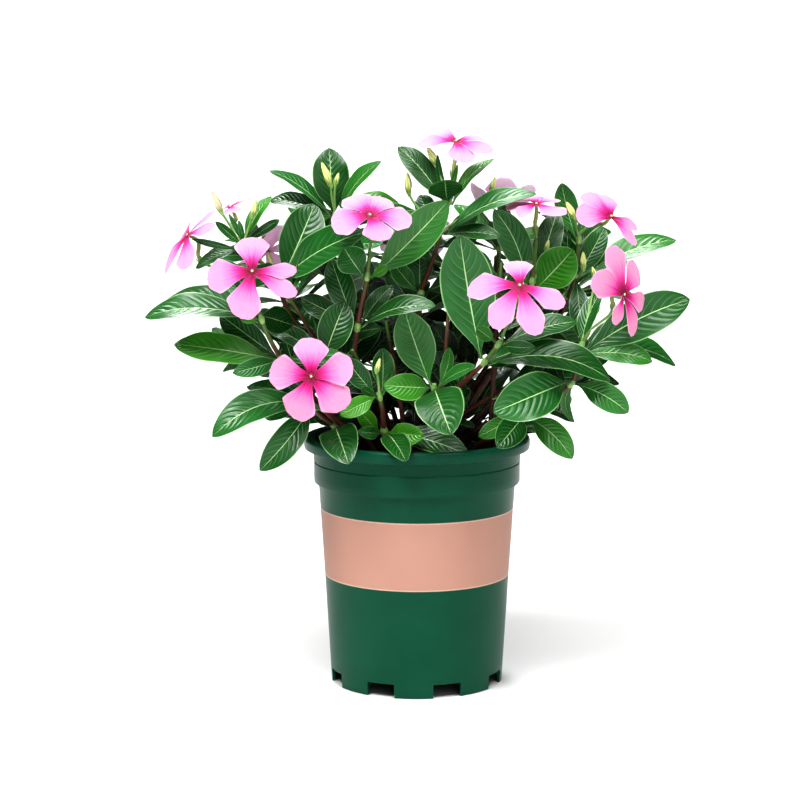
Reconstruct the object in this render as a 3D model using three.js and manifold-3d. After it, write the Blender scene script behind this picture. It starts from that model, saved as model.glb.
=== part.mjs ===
// A madagascar periwinkle in a one-gallon nursery pot.
// Millimetres, +Z up, origin at the middle of the pot's foot, the side that is seen faces -Y.
import * as THREE from 'three'
import { mergeVertices } from 'three/addons/utils/BufferGeometryUtils.js'
import Module from 'manifold-3d'

// Driving dimensions of the pot.
const POT_HEIGHT = 181.3
const RIM_RADIUS = 82.5
const RIM_DEPTH = 9
const NECK_RADIUS = 75.5
const NECK_FOOT_HEIGHT = 147
const GROOVE_HEIGHT = 163.5
const GROOVE_DEPTH = 0.7
const BODY_TOP_RADIUS = 71.8
const FOOT_RADIUS = 62.8
const WALL = 1.8
const FLOOR_HEIGHT = 7
const FLOOR_THICKNESS = 2.2
const NOTCHES = 8
const NOTCH_WIDTH = 21
const NOTCH_HEIGHT = 10
const NOTCH_INNER_RADIUS = 50
const NOTCH_TURN = 20.5
const POT_SIDES = 40

// Driving dimensions of the soil and of what grows in it.
const SOIL_TOP = 168
const GAP = 0.35
const STEM_SIDES = 6
const STEM_STEP = 13
const STEM_RISE = 5
const STEM_FOOT_RADIUS = 2.3
const STEM_TIP_RADIUS = 1.2
const COLLAR_WALL = 1.9
const COLLAR_HEIGHT = 3.4
const COLLAR_SIDES = 6
const LEAF_THICKNESS = 1.1
const LEAF_FOLD = 0.22
const LEAF_ARCH = 0.09
const LEAF_WIDTH_TO_LENGTH = 0.33
const LEAF_SPREAD = 0.04
const SLENDEREST_HALF_WIDTH = 0.9
const ROOT_INTO_COLLAR = 0.6
const BUD_SWELL = 0.21
const FATTEST_BUD_RADIUS = 3.1
const PETAL_LENGTH = 33
const PETAL_THICKNESS = 1
const PETAL_HALF_WIDTH = 12.2
const PETAL_START = 0.9
const STALK_RADIUS = 1
const STALK_STEP = 7
const THROAT_RADIUS = 2.3
const TUBE_LENGTH = 9
const CALYX_SWELL = 1.7
const FAR_SIDE = 35

// The place that the readings below are seen from: a reading (x, z) is where the sight line
// through a point crosses the upright plane through the middle of the pot.
const EYE = new THREE.Vector3(0, -1769, 466)

// The point that has the reading (x, z) and lies at the depth y.
function seen(x, z, y) {
  const reach = (y - EYE.y) / -EYE.y
  return new THREE.Vector3(x, 0, z).sub(EYE).multiplyScalar(reach).add(EYE)
}

// Materials: the colour, roughness and metalness of each kind of piece.
const LOOKS = {
  pot: { color: 0x1d5c3f, roughness: 0.45, metalness: 0 },
  soil: { color: 0x1f1611, roughness: 0.95, metalness: 0 },
  stem: { color: 0x5a3421, roughness: 0.7, metalness: 0 },
  leaf: { color: 0x23651f, roughness: 0.4, metalness: 0 },
  flower: { color: 0xf5a6ea, roughness: 0.6, metalness: 0 },
}

const wasm = await Module()
wasm.setup()
const plant = new THREE.Group()

// A closed three.js geometry as a solid that can be joined and cut.
function solidOf(geometry) {
  const bare = geometry.clone()
  bare.deleteAttribute('normal')
  bare.deleteAttribute('uv')
  const merged = mergeVertices(bare, 1e-4)
  const vertProperties = new Float32Array(merged.attributes.position.array)
  const triVerts = new Uint32Array(merged.index.array)
  return new wasm.Manifold(new wasm.Mesh({ numProp: 3, vertProperties, triVerts }))
}

// A named mesh of the plant, made of a finished solid.
function addPiece(name, solid, look) {
  const { vertProperties, triVerts } = solid.getMesh()
  const geometry = new THREE.BufferGeometry()
  geometry.setAttribute('position', new THREE.BufferAttribute(new Float32Array(vertProperties), 3))
  geometry.setIndex(new THREE.BufferAttribute(new Uint32Array(triVerts), 1))
  geometry.computeVertexNormals()
  const mesh = new THREE.Mesh(geometry, new THREE.MeshStandardMaterial(LOOKS[look]))
  mesh.name = name
  plant.add(mesh)
}

// A body through rings of four points each, capped at the first ring and pointed at the tip.
function stripGeometry(rings, tip) {
  const points = [...rings.flat(), tip]
  const faces = [0, 1, 2, 0, 2, 3]
  const last = (rings.length - 1) * 4
  for (let ring = 0; ring < rings.length - 1; ring++) {
    for (let side = 0; side < 4; side++) {
      const a = ring * 4 + side
      const b = ring * 4 + (side + 1) % 4
      faces.push(a, b + 4, b, a, a + 4, b + 4)
    }
  }
  for (let side = 0; side < 4; side++) {
    faces.push(last + side, points.length - 1, last + (side + 1) % 4)
  }
  const geometry = new THREE.BufferGeometry().setFromPoints(points)
  geometry.setIndex(faces)
  return geometry
}

// A blade along a curve: half-widths and the edges' lift at each station, with the face turned
// to the given normal. Every ring is one edge, the back, the other edge and the face.
function bladeStrip(curve, normal, stations, thickness) {
  const rings = stations.map(({ at, half, lift }) => {
    const middle = curve.getPoint(at)
    const along = curve.getTangent(at)
    const side = new THREE.Vector3().crossVectors(along, normal).normalize()
    const up = new THREE.Vector3().crossVectors(side, along).normalize()
    const place = (across, rise) =>
      middle.clone().addScaledVector(side, across).addScaledVector(up, rise)
    return [place(-half, lift), place(0, -thickness / 2), place(half, lift), place(0, thickness / 2)]
  })
  return { rings, tip: curve.getPoint(1) }
}

const stripSolid = ({ rings, tip }, from = 0) => solidOf(stripGeometry(rings.slice(from), tip))

// The tapered wall below the neck.
const bodyRadius = (z) => FOOT_RADIUS + (BODY_TOP_RADIUS - FOOT_RADIUS) * z / NECK_FOOT_HEIGHT

// Pot: one moulded shell, turned about its axis, with the drainage notches cut at its foot.
function potSolid() {
  const rimFoot = POT_HEIGHT - RIM_DEPTH
  const profile = [
    [FOOT_RADIUS - WALL, 0], [FOOT_RADIUS, 0],
    [bodyRadius(NECK_FOOT_HEIGHT), NECK_FOOT_HEIGHT],
    [NECK_RADIUS - 0.5, NECK_FOOT_HEIGHT + 1.5],
    [NECK_RADIUS - 0.2, GROOVE_HEIGHT - GROOVE_DEPTH],
    [NECK_RADIUS - GROOVE_DEPTH, GROOVE_HEIGHT],
    [NECK_RADIUS, GROOVE_HEIGHT + GROOVE_DEPTH],
    [NECK_RADIUS + 0.3, rimFoot], [RIM_RADIUS - 1, rimFoot + 0.4], [RIM_RADIUS, rimFoot + 1.6],
    [RIM_RADIUS, POT_HEIGHT - 2.4], [RIM_RADIUS - 1.6, POT_HEIGHT],
    [NECK_RADIUS + 0.8, POT_HEIGHT], [NECK_RADIUS - WALL, POT_HEIGHT - 2.5],
    [NECK_RADIUS - WALL, NECK_FOOT_HEIGHT + 3],
    [bodyRadius(NECK_FOOT_HEIGHT) - WALL, NECK_FOOT_HEIGHT - 1],
    [bodyRadius(FLOOR_HEIGHT) - WALL, FLOOR_HEIGHT + FLOOR_THICKNESS],
    [0, FLOOR_HEIGHT + FLOOR_THICKNESS], [0, FLOOR_HEIGHT],
    [bodyRadius(FLOOR_HEIGHT) - WALL, FLOOR_HEIGHT], [FOOT_RADIUS - WALL, 0],
  ].map(([r, z]) => new THREE.Vector2(r, z))
  let solid = solidOf(new THREE.LatheGeometry(profile, POT_SIDES).rotateX(Math.PI / 2))
  const depth = FOOT_RADIUS + 10 - NOTCH_INNER_RADIUS
  for (let notch = 0; notch < NOTCHES; notch++) {
    const box = new THREE.BoxGeometry(NOTCH_WIDTH, depth, NOTCH_HEIGHT * 2)
    box.translate(0, -(NOTCH_INNER_RADIUS + depth / 2), 0)
    box.rotateZ(THREE.MathUtils.degToRad(NOTCH_TURN + notch * 360 / NOTCHES))
    solid = solid.subtract(solidOf(box))
  }
  return solid
}

// Potting soil: one plug that fills the pot from its floor to a finger's width below the rim.
function soilSolid() {
  const clear = WALL + 3 * GAP
  const bottom = FLOOR_HEIGHT + FLOOR_THICKNESS + GAP
  const profile = [
    [0, bottom], [bodyRadius(bottom) - clear - 0.4, bottom],
    [bodyRadius(NECK_FOOT_HEIGHT) - clear, NECK_FOOT_HEIGHT - 2],
    [NECK_RADIUS - clear - 0.2, NECK_FOOT_HEIGHT + 4],
    [NECK_RADIUS - clear - 0.2, SOIL_TOP - 1.5], [NECK_RADIUS - clear - 4, SOIL_TOP], [0, SOIL_TOP],
  ].map(([r, z]) => new THREE.Vector2(r, z))
  return solidOf(new THREE.LatheGeometry(profile, POT_SIDES).rotateX(Math.PI / 2))
}

// Stem: a round tube along its curve, thinner towards the tip.
function stemSolid(shoot) {
  const section = new THREE.Shape(new THREE.EllipseCurve(0, 0, 1, 1).getPoints(STEM_SIDES))
  const steps = stemSteps(shoot)
  const tube = new THREE.ExtrudeGeometry(section, { steps, extrudePath: shoot.curve })
  const centres = shoot.curve.getSpacedPoints(steps)
  const place = tube.attributes.position
  const corner = new THREE.Vector3()
  for (let index = 0; index < place.count; index++) {
    corner.fromBufferAttribute(place, index)
    const gaps = centres.map((centre) => centre.distanceTo(corner))
    const station = gaps.indexOf(Math.min(...gaps))
    const radius = stemRadius(shoot, station / steps)
    corner.sub(centres[station]).multiplyScalar(radius).add(centres[station])
    place.setXYZ(index, corner.x, corner.y, corner.z)
  }
  return solidOf(tube)
}

const stemSteps = (shoot) => Math.max(3, Math.round(shoot.curve.getLength() / STEM_STEP))
const stemRadius = (shoot, at) => THREE.MathUtils.lerp(shoot.foot, STEM_TIP_RADIUS, at)

// Collar: the short green sleeve on the stem that the leaf stalks of one whorl grow from.
function collarSolid(centre, along, inner) {
  const hole = inner / Math.cos(Math.PI / COLLAR_SIDES)
  const outer = inner + COLLAR_WALL
  const profile = [[hole, -1], [outer, -0.6], [outer, 0.6], [hole, 1], [hole, -1]]
    .map(([r, h]) => new THREE.Vector2(r, h * COLLAR_HEIGHT / 2))
  const ring = new THREE.LatheGeometry(profile, COLLAR_SIDES)
  const turn = new THREE.Quaternion().setFromUnitVectors(new THREE.Vector3(0, 1, 0), along)
  return solidOf(ring.applyQuaternion(turn).translate(centre.x, centre.y, centre.z))
}

// The face of a leaf is turned from the viewer towards the sky until it looks as wide as read.
function leafNormal(base, tip, width, seenWidth) {
  const along = tip.clone().sub(base).normalize()
  const view = EYE.clone().sub(base).normalize()
  const facing = view.addScaledVector(along, -view.dot(along)).normalize()
  const side = new THREE.Vector3().crossVectors(along, facing)
  const turn = Math.acos(Math.min(1, seenWidth / width))
  const sky = Math.sign(side.z) || 1
  return facing.multiplyScalar(Math.cos(turn)).addScaledVector(side, sky * Math.sin(turn))
}

// On the far side the faces of the leaves look up and away from the shoot.
function skyNormal(base, tip, outward) {
  const along = tip.clone().sub(base).normalize()
  const sky = new THREE.Vector3(0, 0, 1).addScaledVector(outward, 0.5)
  return sky.addScaledVector(along, -sky.dot(along)).normalize()
}

// Leaf: a stalk and a pointed blade, folded along its midrib and arched.
const LEAF_STATIONS = [[0, 0], [0.17, 0.36], [0.42, 0.93], [0.7, 0.95], [0.91, 0.48]]
const BRACT_STATIONS = [[0, 0], [0.3, 0.85], [0.65, 0.9]]
const BRACT_WIDTH = 7.5
function leafStrip({ centre, along, hole }, tip, seenWidth, arch, bow) {
  const reach = tip.clone().sub(centre)
  const outward = reach.clone().addScaledVector(along, -reach.dot(along)).normalize()
  const start = centre.clone().addScaledVector(outward, hole + COLLAR_WALL * ROOT_INTO_COLLAR)
  const length = start.distanceTo(tip)
  const narrow = seenWidth < BRACT_WIDTH
  const width = narrow ? seenWidth : Math.max(seenWidth, LEAF_WIDTH_TO_LENGTH * length)
  const normal = start.y > FAR_SIDE ? skyNormal(start, tip, outward)
    : leafNormal(start, tip, width, seenWidth)
  const lifted = normal.z < 0 ? normal.clone().negate() : normal
  const middle = start.clone().lerp(tip, 0.5).addScaledVector(lifted, 2 * arch * length)
  middle.addScaledVector(outward, LEAF_SPREAD * length)
  const leftHand = new THREE.Vector3(start.z - tip.z, 0, tip.x - start.x).normalize()
  middle.addScaledVector(leftHand, 2 * bow * length)
  const curve = new THREE.QuadraticBezierCurve3(start, middle, tip)
  const stations = (narrow ? BRACT_STATIONS : LEAF_STATIONS).map(([at, share]) => {
    const half = Math.max(SLENDEREST_HALF_WIDTH, share * width / 2)
    return { at, half, lift: share * half * LEAF_FOLD }
  })
  return bladeStrip(curve, normal, stations, LEAF_THICKNESS)
}

// Bud: a slim spindle on a thin stalk that grows from the whorl.
function budStrip({ centre, along, hole }, tip, base) {
  const reach = base.clone().sub(centre)
  const outward = reach.clone().addScaledVector(along, -reach.dot(along)).normalize()
  const start = centre.clone().addScaledVector(outward, hole + COLLAR_WALL * ROOT_INTO_COLLAR)
  const length = tip.distanceTo(base)
  const swell = base.clone().lerp(tip, 0.45)
  const curve = new THREE.CatmullRomCurve3([start, base, swell, tip])
  const bulge = Math.min(FATTEST_BUD_RADIUS, length * BUD_SWELL)
  const stations = [[0, 0.8], [0.2, 0.7], [1 / 3, 1.1], [0.55, bulge], [0.8, bulge * 0.72]]
  const rings = stations.map(([at, radius]) => squareRing(curve, at, radius))
  return { rings, tip }
}

function squareRing(curve, at, radius) {
  const middle = curve.getPoint(at)
  const tangent = curve.getTangent(at)
  const isSteep = Math.abs(tangent.z) > 0.8
  const spare = isSteep ? new THREE.Vector3(0, 1, 0) : new THREE.Vector3(0, 0, 1)
  const side = new THREE.Vector3().crossVectors(tangent, spare).normalize()
  const up = new THREE.Vector3().crossVectors(side, tangent)
  return [[-1, 0], [0, -1], [1, 0], [0, 1]].map(([across, rise]) =>
    middle.clone().addScaledVector(side, across * radius).addScaledVector(up, rise * radius))
}

// Flower: five petals on a thin tube, which bends back to the shoot that carries it.
const PETAL_STATIONS = [[0, 0.12], [0.4, 0.5], [0.78, 1], [0.95, 0.7]]
const PETALS = 5
const SHORTEST_PETAL = 0.65
const LONGEST_PETAL = 1.08
const WIDEST_AT = 0.84
const SHARE_OF_GAP = 0.44
const PETAL_DROOP = 0.1
function evenTips(normal, size) {
  const first = new THREE.Vector3(0, 0, 1).projectOnPlane(normal).setLength(size)
  return Array.from({ length: PETALS }, (_, petal) =>
    first.clone().applyAxisAngle(normal, petal * 2 * Math.PI / PETALS))
}

function flowerStrips(flower) {
  const centre = flower.centre ?? seen(...flower.at)
  const size = PETAL_LENGTH * (flower.size ?? 1)
  const [turn, tilt] = flower.facing.map(THREE.MathUtils.degToRad)
  const level = Math.cos(tilt)
  const normal = new THREE.Vector3(Math.sin(turn) * level, -Math.cos(turn) * level, Math.sin(tilt))
  const plane = new THREE.Plane().setFromNormalAndCoplanarPoint(normal, centre)
  const tips = flower.petals === 'even' ? evenTips(normal, size) : flower.petals.map(([x, z]) => {
    const sight = new THREE.Ray(EYE, seen(x, z, 0).sub(EYE).normalize())
    return sight.intersectPlane(plane, new THREE.Vector3()).sub(centre)
  })
  const strips = tips.map((tip) => {
    const length = THREE.MathUtils.clamp(tip.length(), size * SHORTEST_PETAL, size * LONGEST_PETAL)
    const outward = tip.clone().normalize()
    const nearest = Math.min(...tips.filter((other) => other !== tip).map((other) => other.angleTo(tip)))
    const free = length * WIDEST_AT * Math.tan(nearest * SHARE_OF_GAP)
    const widest = Math.min(PETAL_HALF_WIDTH, free) * (flower.slim ?? 1)
    const start = centre.clone().addScaledVector(outward, PETAL_START)
    const droop = flower.droop ?? PETAL_DROOP
    const middle = centre.clone().addScaledVector(outward, length * 0.5)
    middle.addScaledVector(normal, length * droop * 0.5)
    const end = centre.clone().addScaledVector(outward, length)
    end.addScaledVector(normal, -length * droop)
    const curve = new THREE.QuadraticBezierCurve3(start, middle, end)
    const stations = PETAL_STATIONS.map(([at, share]) =>
      ({ at, half: share * widest, lift: -0.03 * widest * share }))
    return bladeStrip(curve, normal, stations, PETAL_THICKNESS)
  })
  const root = (flower.stalk ?? []).map((reading) => seen(...reading))
  const line = [0.6, -TUBE_LENGTH].map((rise) => centre.clone().addScaledVector(normal, rise))
  const curve = new THREE.CatmullRomCurve3([...line, ...root, flower.root])
  const steps = Math.max(5, Math.round(curve.getLength() / STALK_STEP))
  const rings = []
  for (let step = 0; step < steps; step++) {
    const at = step / steps
    const calyx = step === steps - 2 ? CALYX_SWELL : 1
    rings.push(squareRing(curve, at, (step === 0 ? THROAT_RADIUS : STALK_RADIUS) * calyx))
  }
  return { petals: strips, stalk: { rings, tip: flower.root } }
}

// Every solid placed so far, with the piece that it belongs to.
const placed = []
function keep(solid, owner) {
  placed.push({ solid, box: solid.boundingBox(), owner })
}

function isClear(solid, owner, gap) {
  const { min, max } = solid.boundingBox()
  return placed.every((other) => {
    if (other.owner === owner) return true
    for (let axis = 0; axis < 3; axis++) {
      if (min[axis] > other.box.max[axis] + gap) return true
      if (max[axis] < other.box.min[axis] - gap) return true
    }
    return solid.minGap(other.solid, gap) >= gap
  })
}

// Shoots: each foot is a place on the soil; every other point is a reading with a depth,
// [x, z, y]. A whorl sits on the point `at`. A leaf is [x, z of its tip, depth beyond the whorl,
// width as seen], then its arch towards its face and its bow towards the left hand, seen from
// its root to its tip. A bud is [x, z of its tip, x, z of its base, depth beyond the whorl].
const SHOOTS = [
  {
    name: 'left_low', foot: [-30, -22],
    path: [[-60, 193, -42], [-84, 219, -58], [-99, 238, -66], [-109, 256, -70], [-114, 270, -72]],
    whorls: [
      { at: 2, leaves: [[-176.5, 248, 4, 21, 0.05], [-134, 227, -26, 13, 0.1], [-141.4, 228.8, 26, 10],
        [-143, 270, 26, 19]] },
      { at: 4, leaves: [[-197.5, 268, 6, 17, 0.12], [-181.6, 281, 34, 14, 0.12], [-128, 266, -10, 6],
        [-90, 262, 50, 20]] },
    ],
  },
  {
    name: 'left_tall', foot: [-26, 4],
    path: [[-70, 222, 2], [-89, 261, 0], [-97, 280, -4], [-101, 294, -8], [-114, 309, -12],
      [-129, 321, -14]],
    whorls: [
      { at: 3, leaves: [[-74, 350, 16, 30], [-38.5, 330, -52, 23, 0.1], [-128, 300, 46, 20]] },
      { at: 5, leaves: [[-105.2, 355.5, 8, 9], [-99.5, 338.5, 26, 7], [-145.4, 337, -10, 6.5],
        [-162.5, 324.7, -6, 5], [-160.2, 303.6, 14, 8], [-135.8, 342.5, 6, 4],
        [-128.8, 338, 2, 4], [-153, 311.5, 4, 8]],
      buds: [[-148, 360, -141, 343.5, -6], [-116, 353.5, -119, 341, -4]] },
    ],
  },
  {
    name: 'upper_left', foot: [-18, 22],
    path: [[-40, 222, 24], [-56, 270, 24], [-60, 310, 20], [-59, 343, 14]],
    whorls: [
      { at: 3, leaves: [[-106, 374, 10, 9, 0.05, -0.036], [-63.2, 390.1, 10, 27], [-46.8, 370.3, -4, 7],
        [-26.3, 380.7, -16, 9, 0.12], [-12.5, 350, 8, 10, 0.22], [-106, 353, 24, 13], [-74.5, 350, -6, 7],
        [-84, 338, -14, 7]],
      buds: [[-68.8, 380.2, -62.1, 362.7, -6], [-56.5, 372.6, -58.9, 364, -6]] },
    ],
  },
  {
    name: 'middle_left', foot: [-22, -6],
    path: [[-43, 215, -22], [-45.6, 240, -32], [-43, 262, -38], [-39.6, 280, -42], [-36, 297, -45],
      [-34, 319, -48]],
    whorls: [
      { at: 2, leaves: [[-62, 310, 16, 20], [13.3, 276.4, -26, 12, 0.13], [-18, 291, 24, 12],
        [-84, 282, 20, 16]] },
      { at: 4, leaves: [[22, 352, -20, 27, 0.05], [-52.5, 318.1, -16, 22, 0.12], [-21.5, 305, -26, 7],
        [-58, 290, 40, 18]] },
    ],
  },
  {
    name: 'left_rim', foot: [-38, -20],
    path: [[-60, 188, -34], [-76, 204, -42], [-73, 222, -44], [-66, 238, -44]],
    whorls: [
      { at: 0, leaves: [[-50, 160, -62, 27, 0.14], [-36, 214, 22, 18]] },
      { at: 1, leaves: [[-115, 155, -30, 21, 0.14, 0.04], [-149.5, 180, -34, 21, 0.14, -0.06],
        [-124, 217, 20, 12], [-112, 196, 30, 15]] },
      { at: 3, leaves: [[-52, 279, 8, 24], [-107, 260, 14, 14], [-78, 284, 30, 12]] },
    ],
  },
  {
    name: 'front_low', foot: [-22, -34],
    path: [[-24, 184, -40], [-25, 198, -46], [-28, 213, -52]],
    whorls: [
      { at: 0, leaves: [[-42, 200, -18, 12], [-43, 184, -20, 9], [5, 181, -26, 16], [-8, 162, -44, 17],
        [38, 166, -30, 18]] },
      { at: 2, leaves: [[-17.3, 229, -12, 7], [-25, 245, -10, 16], [-52, 238, -6, 15],
        [-40, 216, -24, 6], [-56, 196, -16, 13]],
      buds: [[-27, 238, -29.4, 228, -5]] },
    ],
  },
  {
    name: 'front_middle', foot: [8, -30],
    path: [[11, 190, -36], [12, 205, -44], [12.5, 219, -50]],
    whorls: [
      { at: 2, leaves: [[-9, 273, -4, 28], [23.7, 245.5, -12, 9], [42.7, 232, -18, 8],
        [-24, 218, -24, 19], [25, 181.7, -77, 34, 0.1]] },
    ],
  },
  {
    name: 'front_right', foot: [6, -14],
    path: [[14, 193, -24], [25, 211, -36], [37, 223, -46], [49, 235, -56], [61, 251, -66]],
    whorls: [
      { at: 3, leaves: [[31, 327, -8, 38, 0.05], [141, 222, 6, 21, 0.2], [80, 247, 34, 18]] },
      { at: 4, leaves: [[43.5, 260, -16, 10], [86, 245.6, -20, 10], [115.5, 265, 14, 15]] },
    ],
  },
  {
    name: 'crown', foot: [0, 6],
    path: [[2, 230, 6], [3, 286, 2], [11, 308, 0], [17, 329, -4], [23, 352, -6]],
    whorls: [
      { at: 1, leaves: [[-18, 308, -8, 14], [2, 320, 12, 20], [36, 300, 30, 18]] },
      { at: 3, leaves: [[85.5, 357.5, -12, 12, 0.12], [43, 343, 20, 12], [60, 326.5, -20, 11],
        [2, 356.5, 24, 15]],
        buds: [[-7.1, 372.6, -5.8, 357, 8], [56.1, 369.7, 53.2, 358.7, 16]] },
      { at: 4, leaves: [[-13.6, 391, 16, 17, 0.05, -0.04], [54.8, 382.4, 10, 8, 0.12],
        [20, 367, -44, 25, 0.1],
        [14.7, 385, -4, 5], [29, 378, -4, 4]],
      buds: [[6.8, 391.8, 14, 378, 2]] },
    ],
  },
  {
    name: 'upper_right', foot: [22, 4],
    path: [[48, 218, 4], [66, 246, 0], [77, 269, -6], [82.5, 288, -10], [86, 325, -12]],
    whorls: [
      { at: 3, leaves: [[55.3, 345.5, -14, 22, 0.08, -0.1], [112.4, 317.2, -26, 29, 0.06], [52, 338, 14, 12],
        [101, 345, 14, 20]],
      buds: [[95, 324.5, 93, 316, 4]] },
    ],
  },
  {
    name: 'right_tall', foot: [28, 20],
    path: [[72, 222, 26], [100, 262, 22], [114, 297, 14], [117, 328, 10]],
    whorls: [
      { at: 2, leaves: [[135, 333, 8, 17], [119, 253, -22, 15], [186.7, 324.3, 14, 16],
        [90, 286, 26, 18]],
      buds: [[120, 315.7, 120.2, 303.3, -12]] },
      { at: 3, leaves: [[104, 365, -6, 17], [126, 352, 18, 8]],
      buds: [[107.6, 351.7, 113.6, 339.7, -10]] },
    ],
  },
  {
    name: 'right_low', foot: [26, -14],
    path: [[62, 195, -28], [96, 208, -44], [114, 222, -53], [117, 242, -57], [126, 259, -60]],
    whorls: [
      { at: 2, leaves: [[56, 198, -40, 32, 0.1], [154, 198, -14, 19, 0.06, 0.07],
        [114.7, 191, 20, 7, 0.06, -0.2]] },
      { at: 3, leaves: [[171, 235.7, -22, 15, 0.09, 0.04], [188, 233, 16, 15, 0.06, 0.07],
        [197.5, 281, 10, 29, 0.06, 0.06],
        [133, 287, 12, 12]],
      buds: [[126.5, 305, 129, 298, 12]] },
    ],
  },
  {
    name: 'right_rim', foot: [40, -20],
    path: [[66, 184, -36], [80, 198, -44]],
    whorls: [
      { at: 1, leaves: [[113.5, 164, -24, 19, 0.1, 0.08], [59, 172, -34, 20],
        [45, 180, -8, 13]] },
    ],
  },
]

// Flowers: the throat's reading and depth, the way the face is turned (to the right, upwards),
// the readings of the petals' tips, and the stalk's way back to the shoot that carries it.
const FLOWERS = [
  { name: 'left', shoot: 'left_low', at: [-119.5, 301.4, -94], facing: [0, 24],
    petals: [[-119.5, 326.5], [-88, 302], [-89, 284.5], [-128, 268.5], [-152, 297]],
    stalk: [[-119, 286, -80]] },
  { name: 'low_front', shoot: 'left_rim', at: [-77.2, 224.5, -98], facing: [0, 8],
    petals: [[-77, 252.5], [-47, 232], [-53, 201], [-90, 194], [-107, 229]],
    stalk: [[-69, 243, -66]] },
  { name: 'middle', shoot: 'middle_left', at: [-34, 342, -62], facing: [8, 50],
    petals: [[-48, 357], [-22, 355.5], [-4, 339], [-26, 325.5], [-61, 336]],
    stalk: [[-33, 328, -52]] },
  { name: 'right', shoot: 'front_right', at: [74.5, 291.3, -92], facing: [0, 40], droop: 0.16, size: 1.06,
    slim: 0.84, petals: [[73.2, 306], [37.1, 291.7], [55.4, 264.2], [87, 255.6], [105.9, 278.7]],
    stalk: [[69, 273, -76]] },
  { name: 'far_right', shoot: 'right_low', at: [149.6, 284.8, -84], facing: [52, 0], slim: 0.8,
    petals: [[142.5, 320.7], [161, 306], [166.9, 276.8], [160.5, 254.7], [145.1, 266.3],
      [126.6, 298.2]],
    stalk: [[141, 272, -66]] },
  { name: 'right_top', shoot: 'right_tall', at: [139.7, 341, -16], facing: [40, 38],
    petals: [[121.2, 359], [137.9, 356], [160, 333.7], [159, 322.3], [116.6, 343.9]],
    stalk: [[127, 336, 4]] },
  { name: 'top', shoot: 'crown', at: [28, 395, -6], facing: [0, 66],
    petals: [[1.2, 396], [13.5, 403.6], [40, 398], [53, 389.5], [33, 382.6]],
    stalk: [[25.5, 372, -6]] },
  { name: 'right_upper', shoot: 'upper_right', at: [86, 350, -18], facing: [0, 72],
    petals: [[64, 349], [73, 344], [103, 344], [97, 354], [82, 356.5]],
    stalk: [[85, 336, -14]] },
  { name: 'far_left', shoot: 'left_tall', at: [-165.6, 327.5, -8], facing: [-69, 32], slim: 0.88,
    petals: [[-149, 345], [-147, 336], [-170, 305.5], [-185.4, 304.3], [-168, 334.5]],
    side: 0.9, stalk: [[-158, 311, -8], [-147, 304, -2], [-134, 305, 4]] },
  { name: 'left_top', shoot: 'left_tall', at: [-134.5, 347.8, 22], facing: [-70, 65], size: 0.52,
    petals: [[-119, 355.5], [-130, 353], [-142, 348], [-140, 343], [-129.5, 345.5]],
    stalk: [[-134, 334, 2]] },
  { name: 'right_behind', shoot: 'back_right', at: [61, 352, 66], facing: [176, 66], size: 0.74,
    droop: -0.4, petals: 'even', stalk: [[61, 339, 64]] },
  { name: 'back_left', shoot: 'back_left', centre: new THREE.Vector3(-114, 94, 308),
    facing: [205, 44], petals: 'even' },
  { name: 'back_middle', shoot: 'back_middle', centre: new THREE.Vector3(-4, 98, 324),
    facing: [176, 52], petals: 'even' },
]

// Shoots on the far side: foot on the soil, tip in space, and the leaves of their whorl.
const FAR_SHOOTS = [
  { name: 'back_left', foot: [-20, 30], bend: [-58, 60, 228], tip: [-102, 76, 280], leaves: 8 },
  { name: 'back_middle', foot: [2, 32], bend: [2, 62, 236], tip: [-2, 76, 294], leaves: 8 },
  { name: 'back_right', foot: [20, 26], bend: [50, 50, 250], tip: [63, 62, 322], leaves: 7,
    scale: 0.75 },
  { name: 'right_back', foot: [34, 26], bend: [82, 56, 224], tip: [114, 72, 284], leaves: 8 },
]

// Ways to ease a leaf out of its neighbours: shift of its tip in depth, change of its arch.
const DEPTH_SHIFTS = [0, -6, 6, -12, 12, -18, 18, -25, 25, -33, 33, -42, 42]
const ARCH_CHANGES = [0, 0.05, -0.06]
const SHORTENINGS = [0, 0.1, 0.2]

function shootOf(record) {
  const start = new THREE.Vector3(...record.foot, SOIL_TOP + 2 * GAP)
  const rise = start.clone().setZ(start.z + STEM_RISE)
  const rest = record.path ? record.path.map((reading) => seen(...reading))
    : [new THREE.Vector3(...record.bend), new THREE.Vector3(...record.tip)]
  const points = [start, rise, ...rest]
  const curve = new THREE.CatmullRomCurve3(points, false, 'centripetal')
  return { ...record, points, curve, foot: STEM_FOOT_RADIUS }
}

// A whorl sits on the straight piece of its stem that lies nearest, clear of the bends.
function whorlFrame(shoot, wanted) {
  const centres = shoot.curve.getSpacedPoints(stemSteps(shoot))
  let best = null
  for (let index = 0; index < centres.length - 1; index++) {
    const piece = new THREE.Line3(centres[index], centres[index + 1])
    const margin = COLLAR_HEIGHT * 0.7 / piece.distance()
    const share = THREE.MathUtils.clamp(piece.closestPointToPointParameter(wanted), margin, 1 - margin)
    const centre = piece.at(share, new THREE.Vector3())
    const far = centre.distanceTo(wanted)
    if (best && best.far <= far) continue
    const along = piece.delta(new THREE.Vector3()).normalize()
    const hole = stemRadius(shoot, (index + share) / (centres.length - 1)) + GAP
    best = { centre, along, hole, far }
  }
  return best
}

// The first try of a leaf that touches nothing placed before it.
function settle(tries, owner, blades) {
  for (const strip of tries) {
    const solid = stripSolid(strip)
    const outer = stripSolid(strip, 2)
    if (isClear(solid, owner, GAP) && blades.every((blade) => outer.minGap(blade, GAP) >= GAP)) {
      blades.push(outer)
      return solid
    }
  }
  throw new Error(`${owner} has no room for all its leaves`)
}

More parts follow.
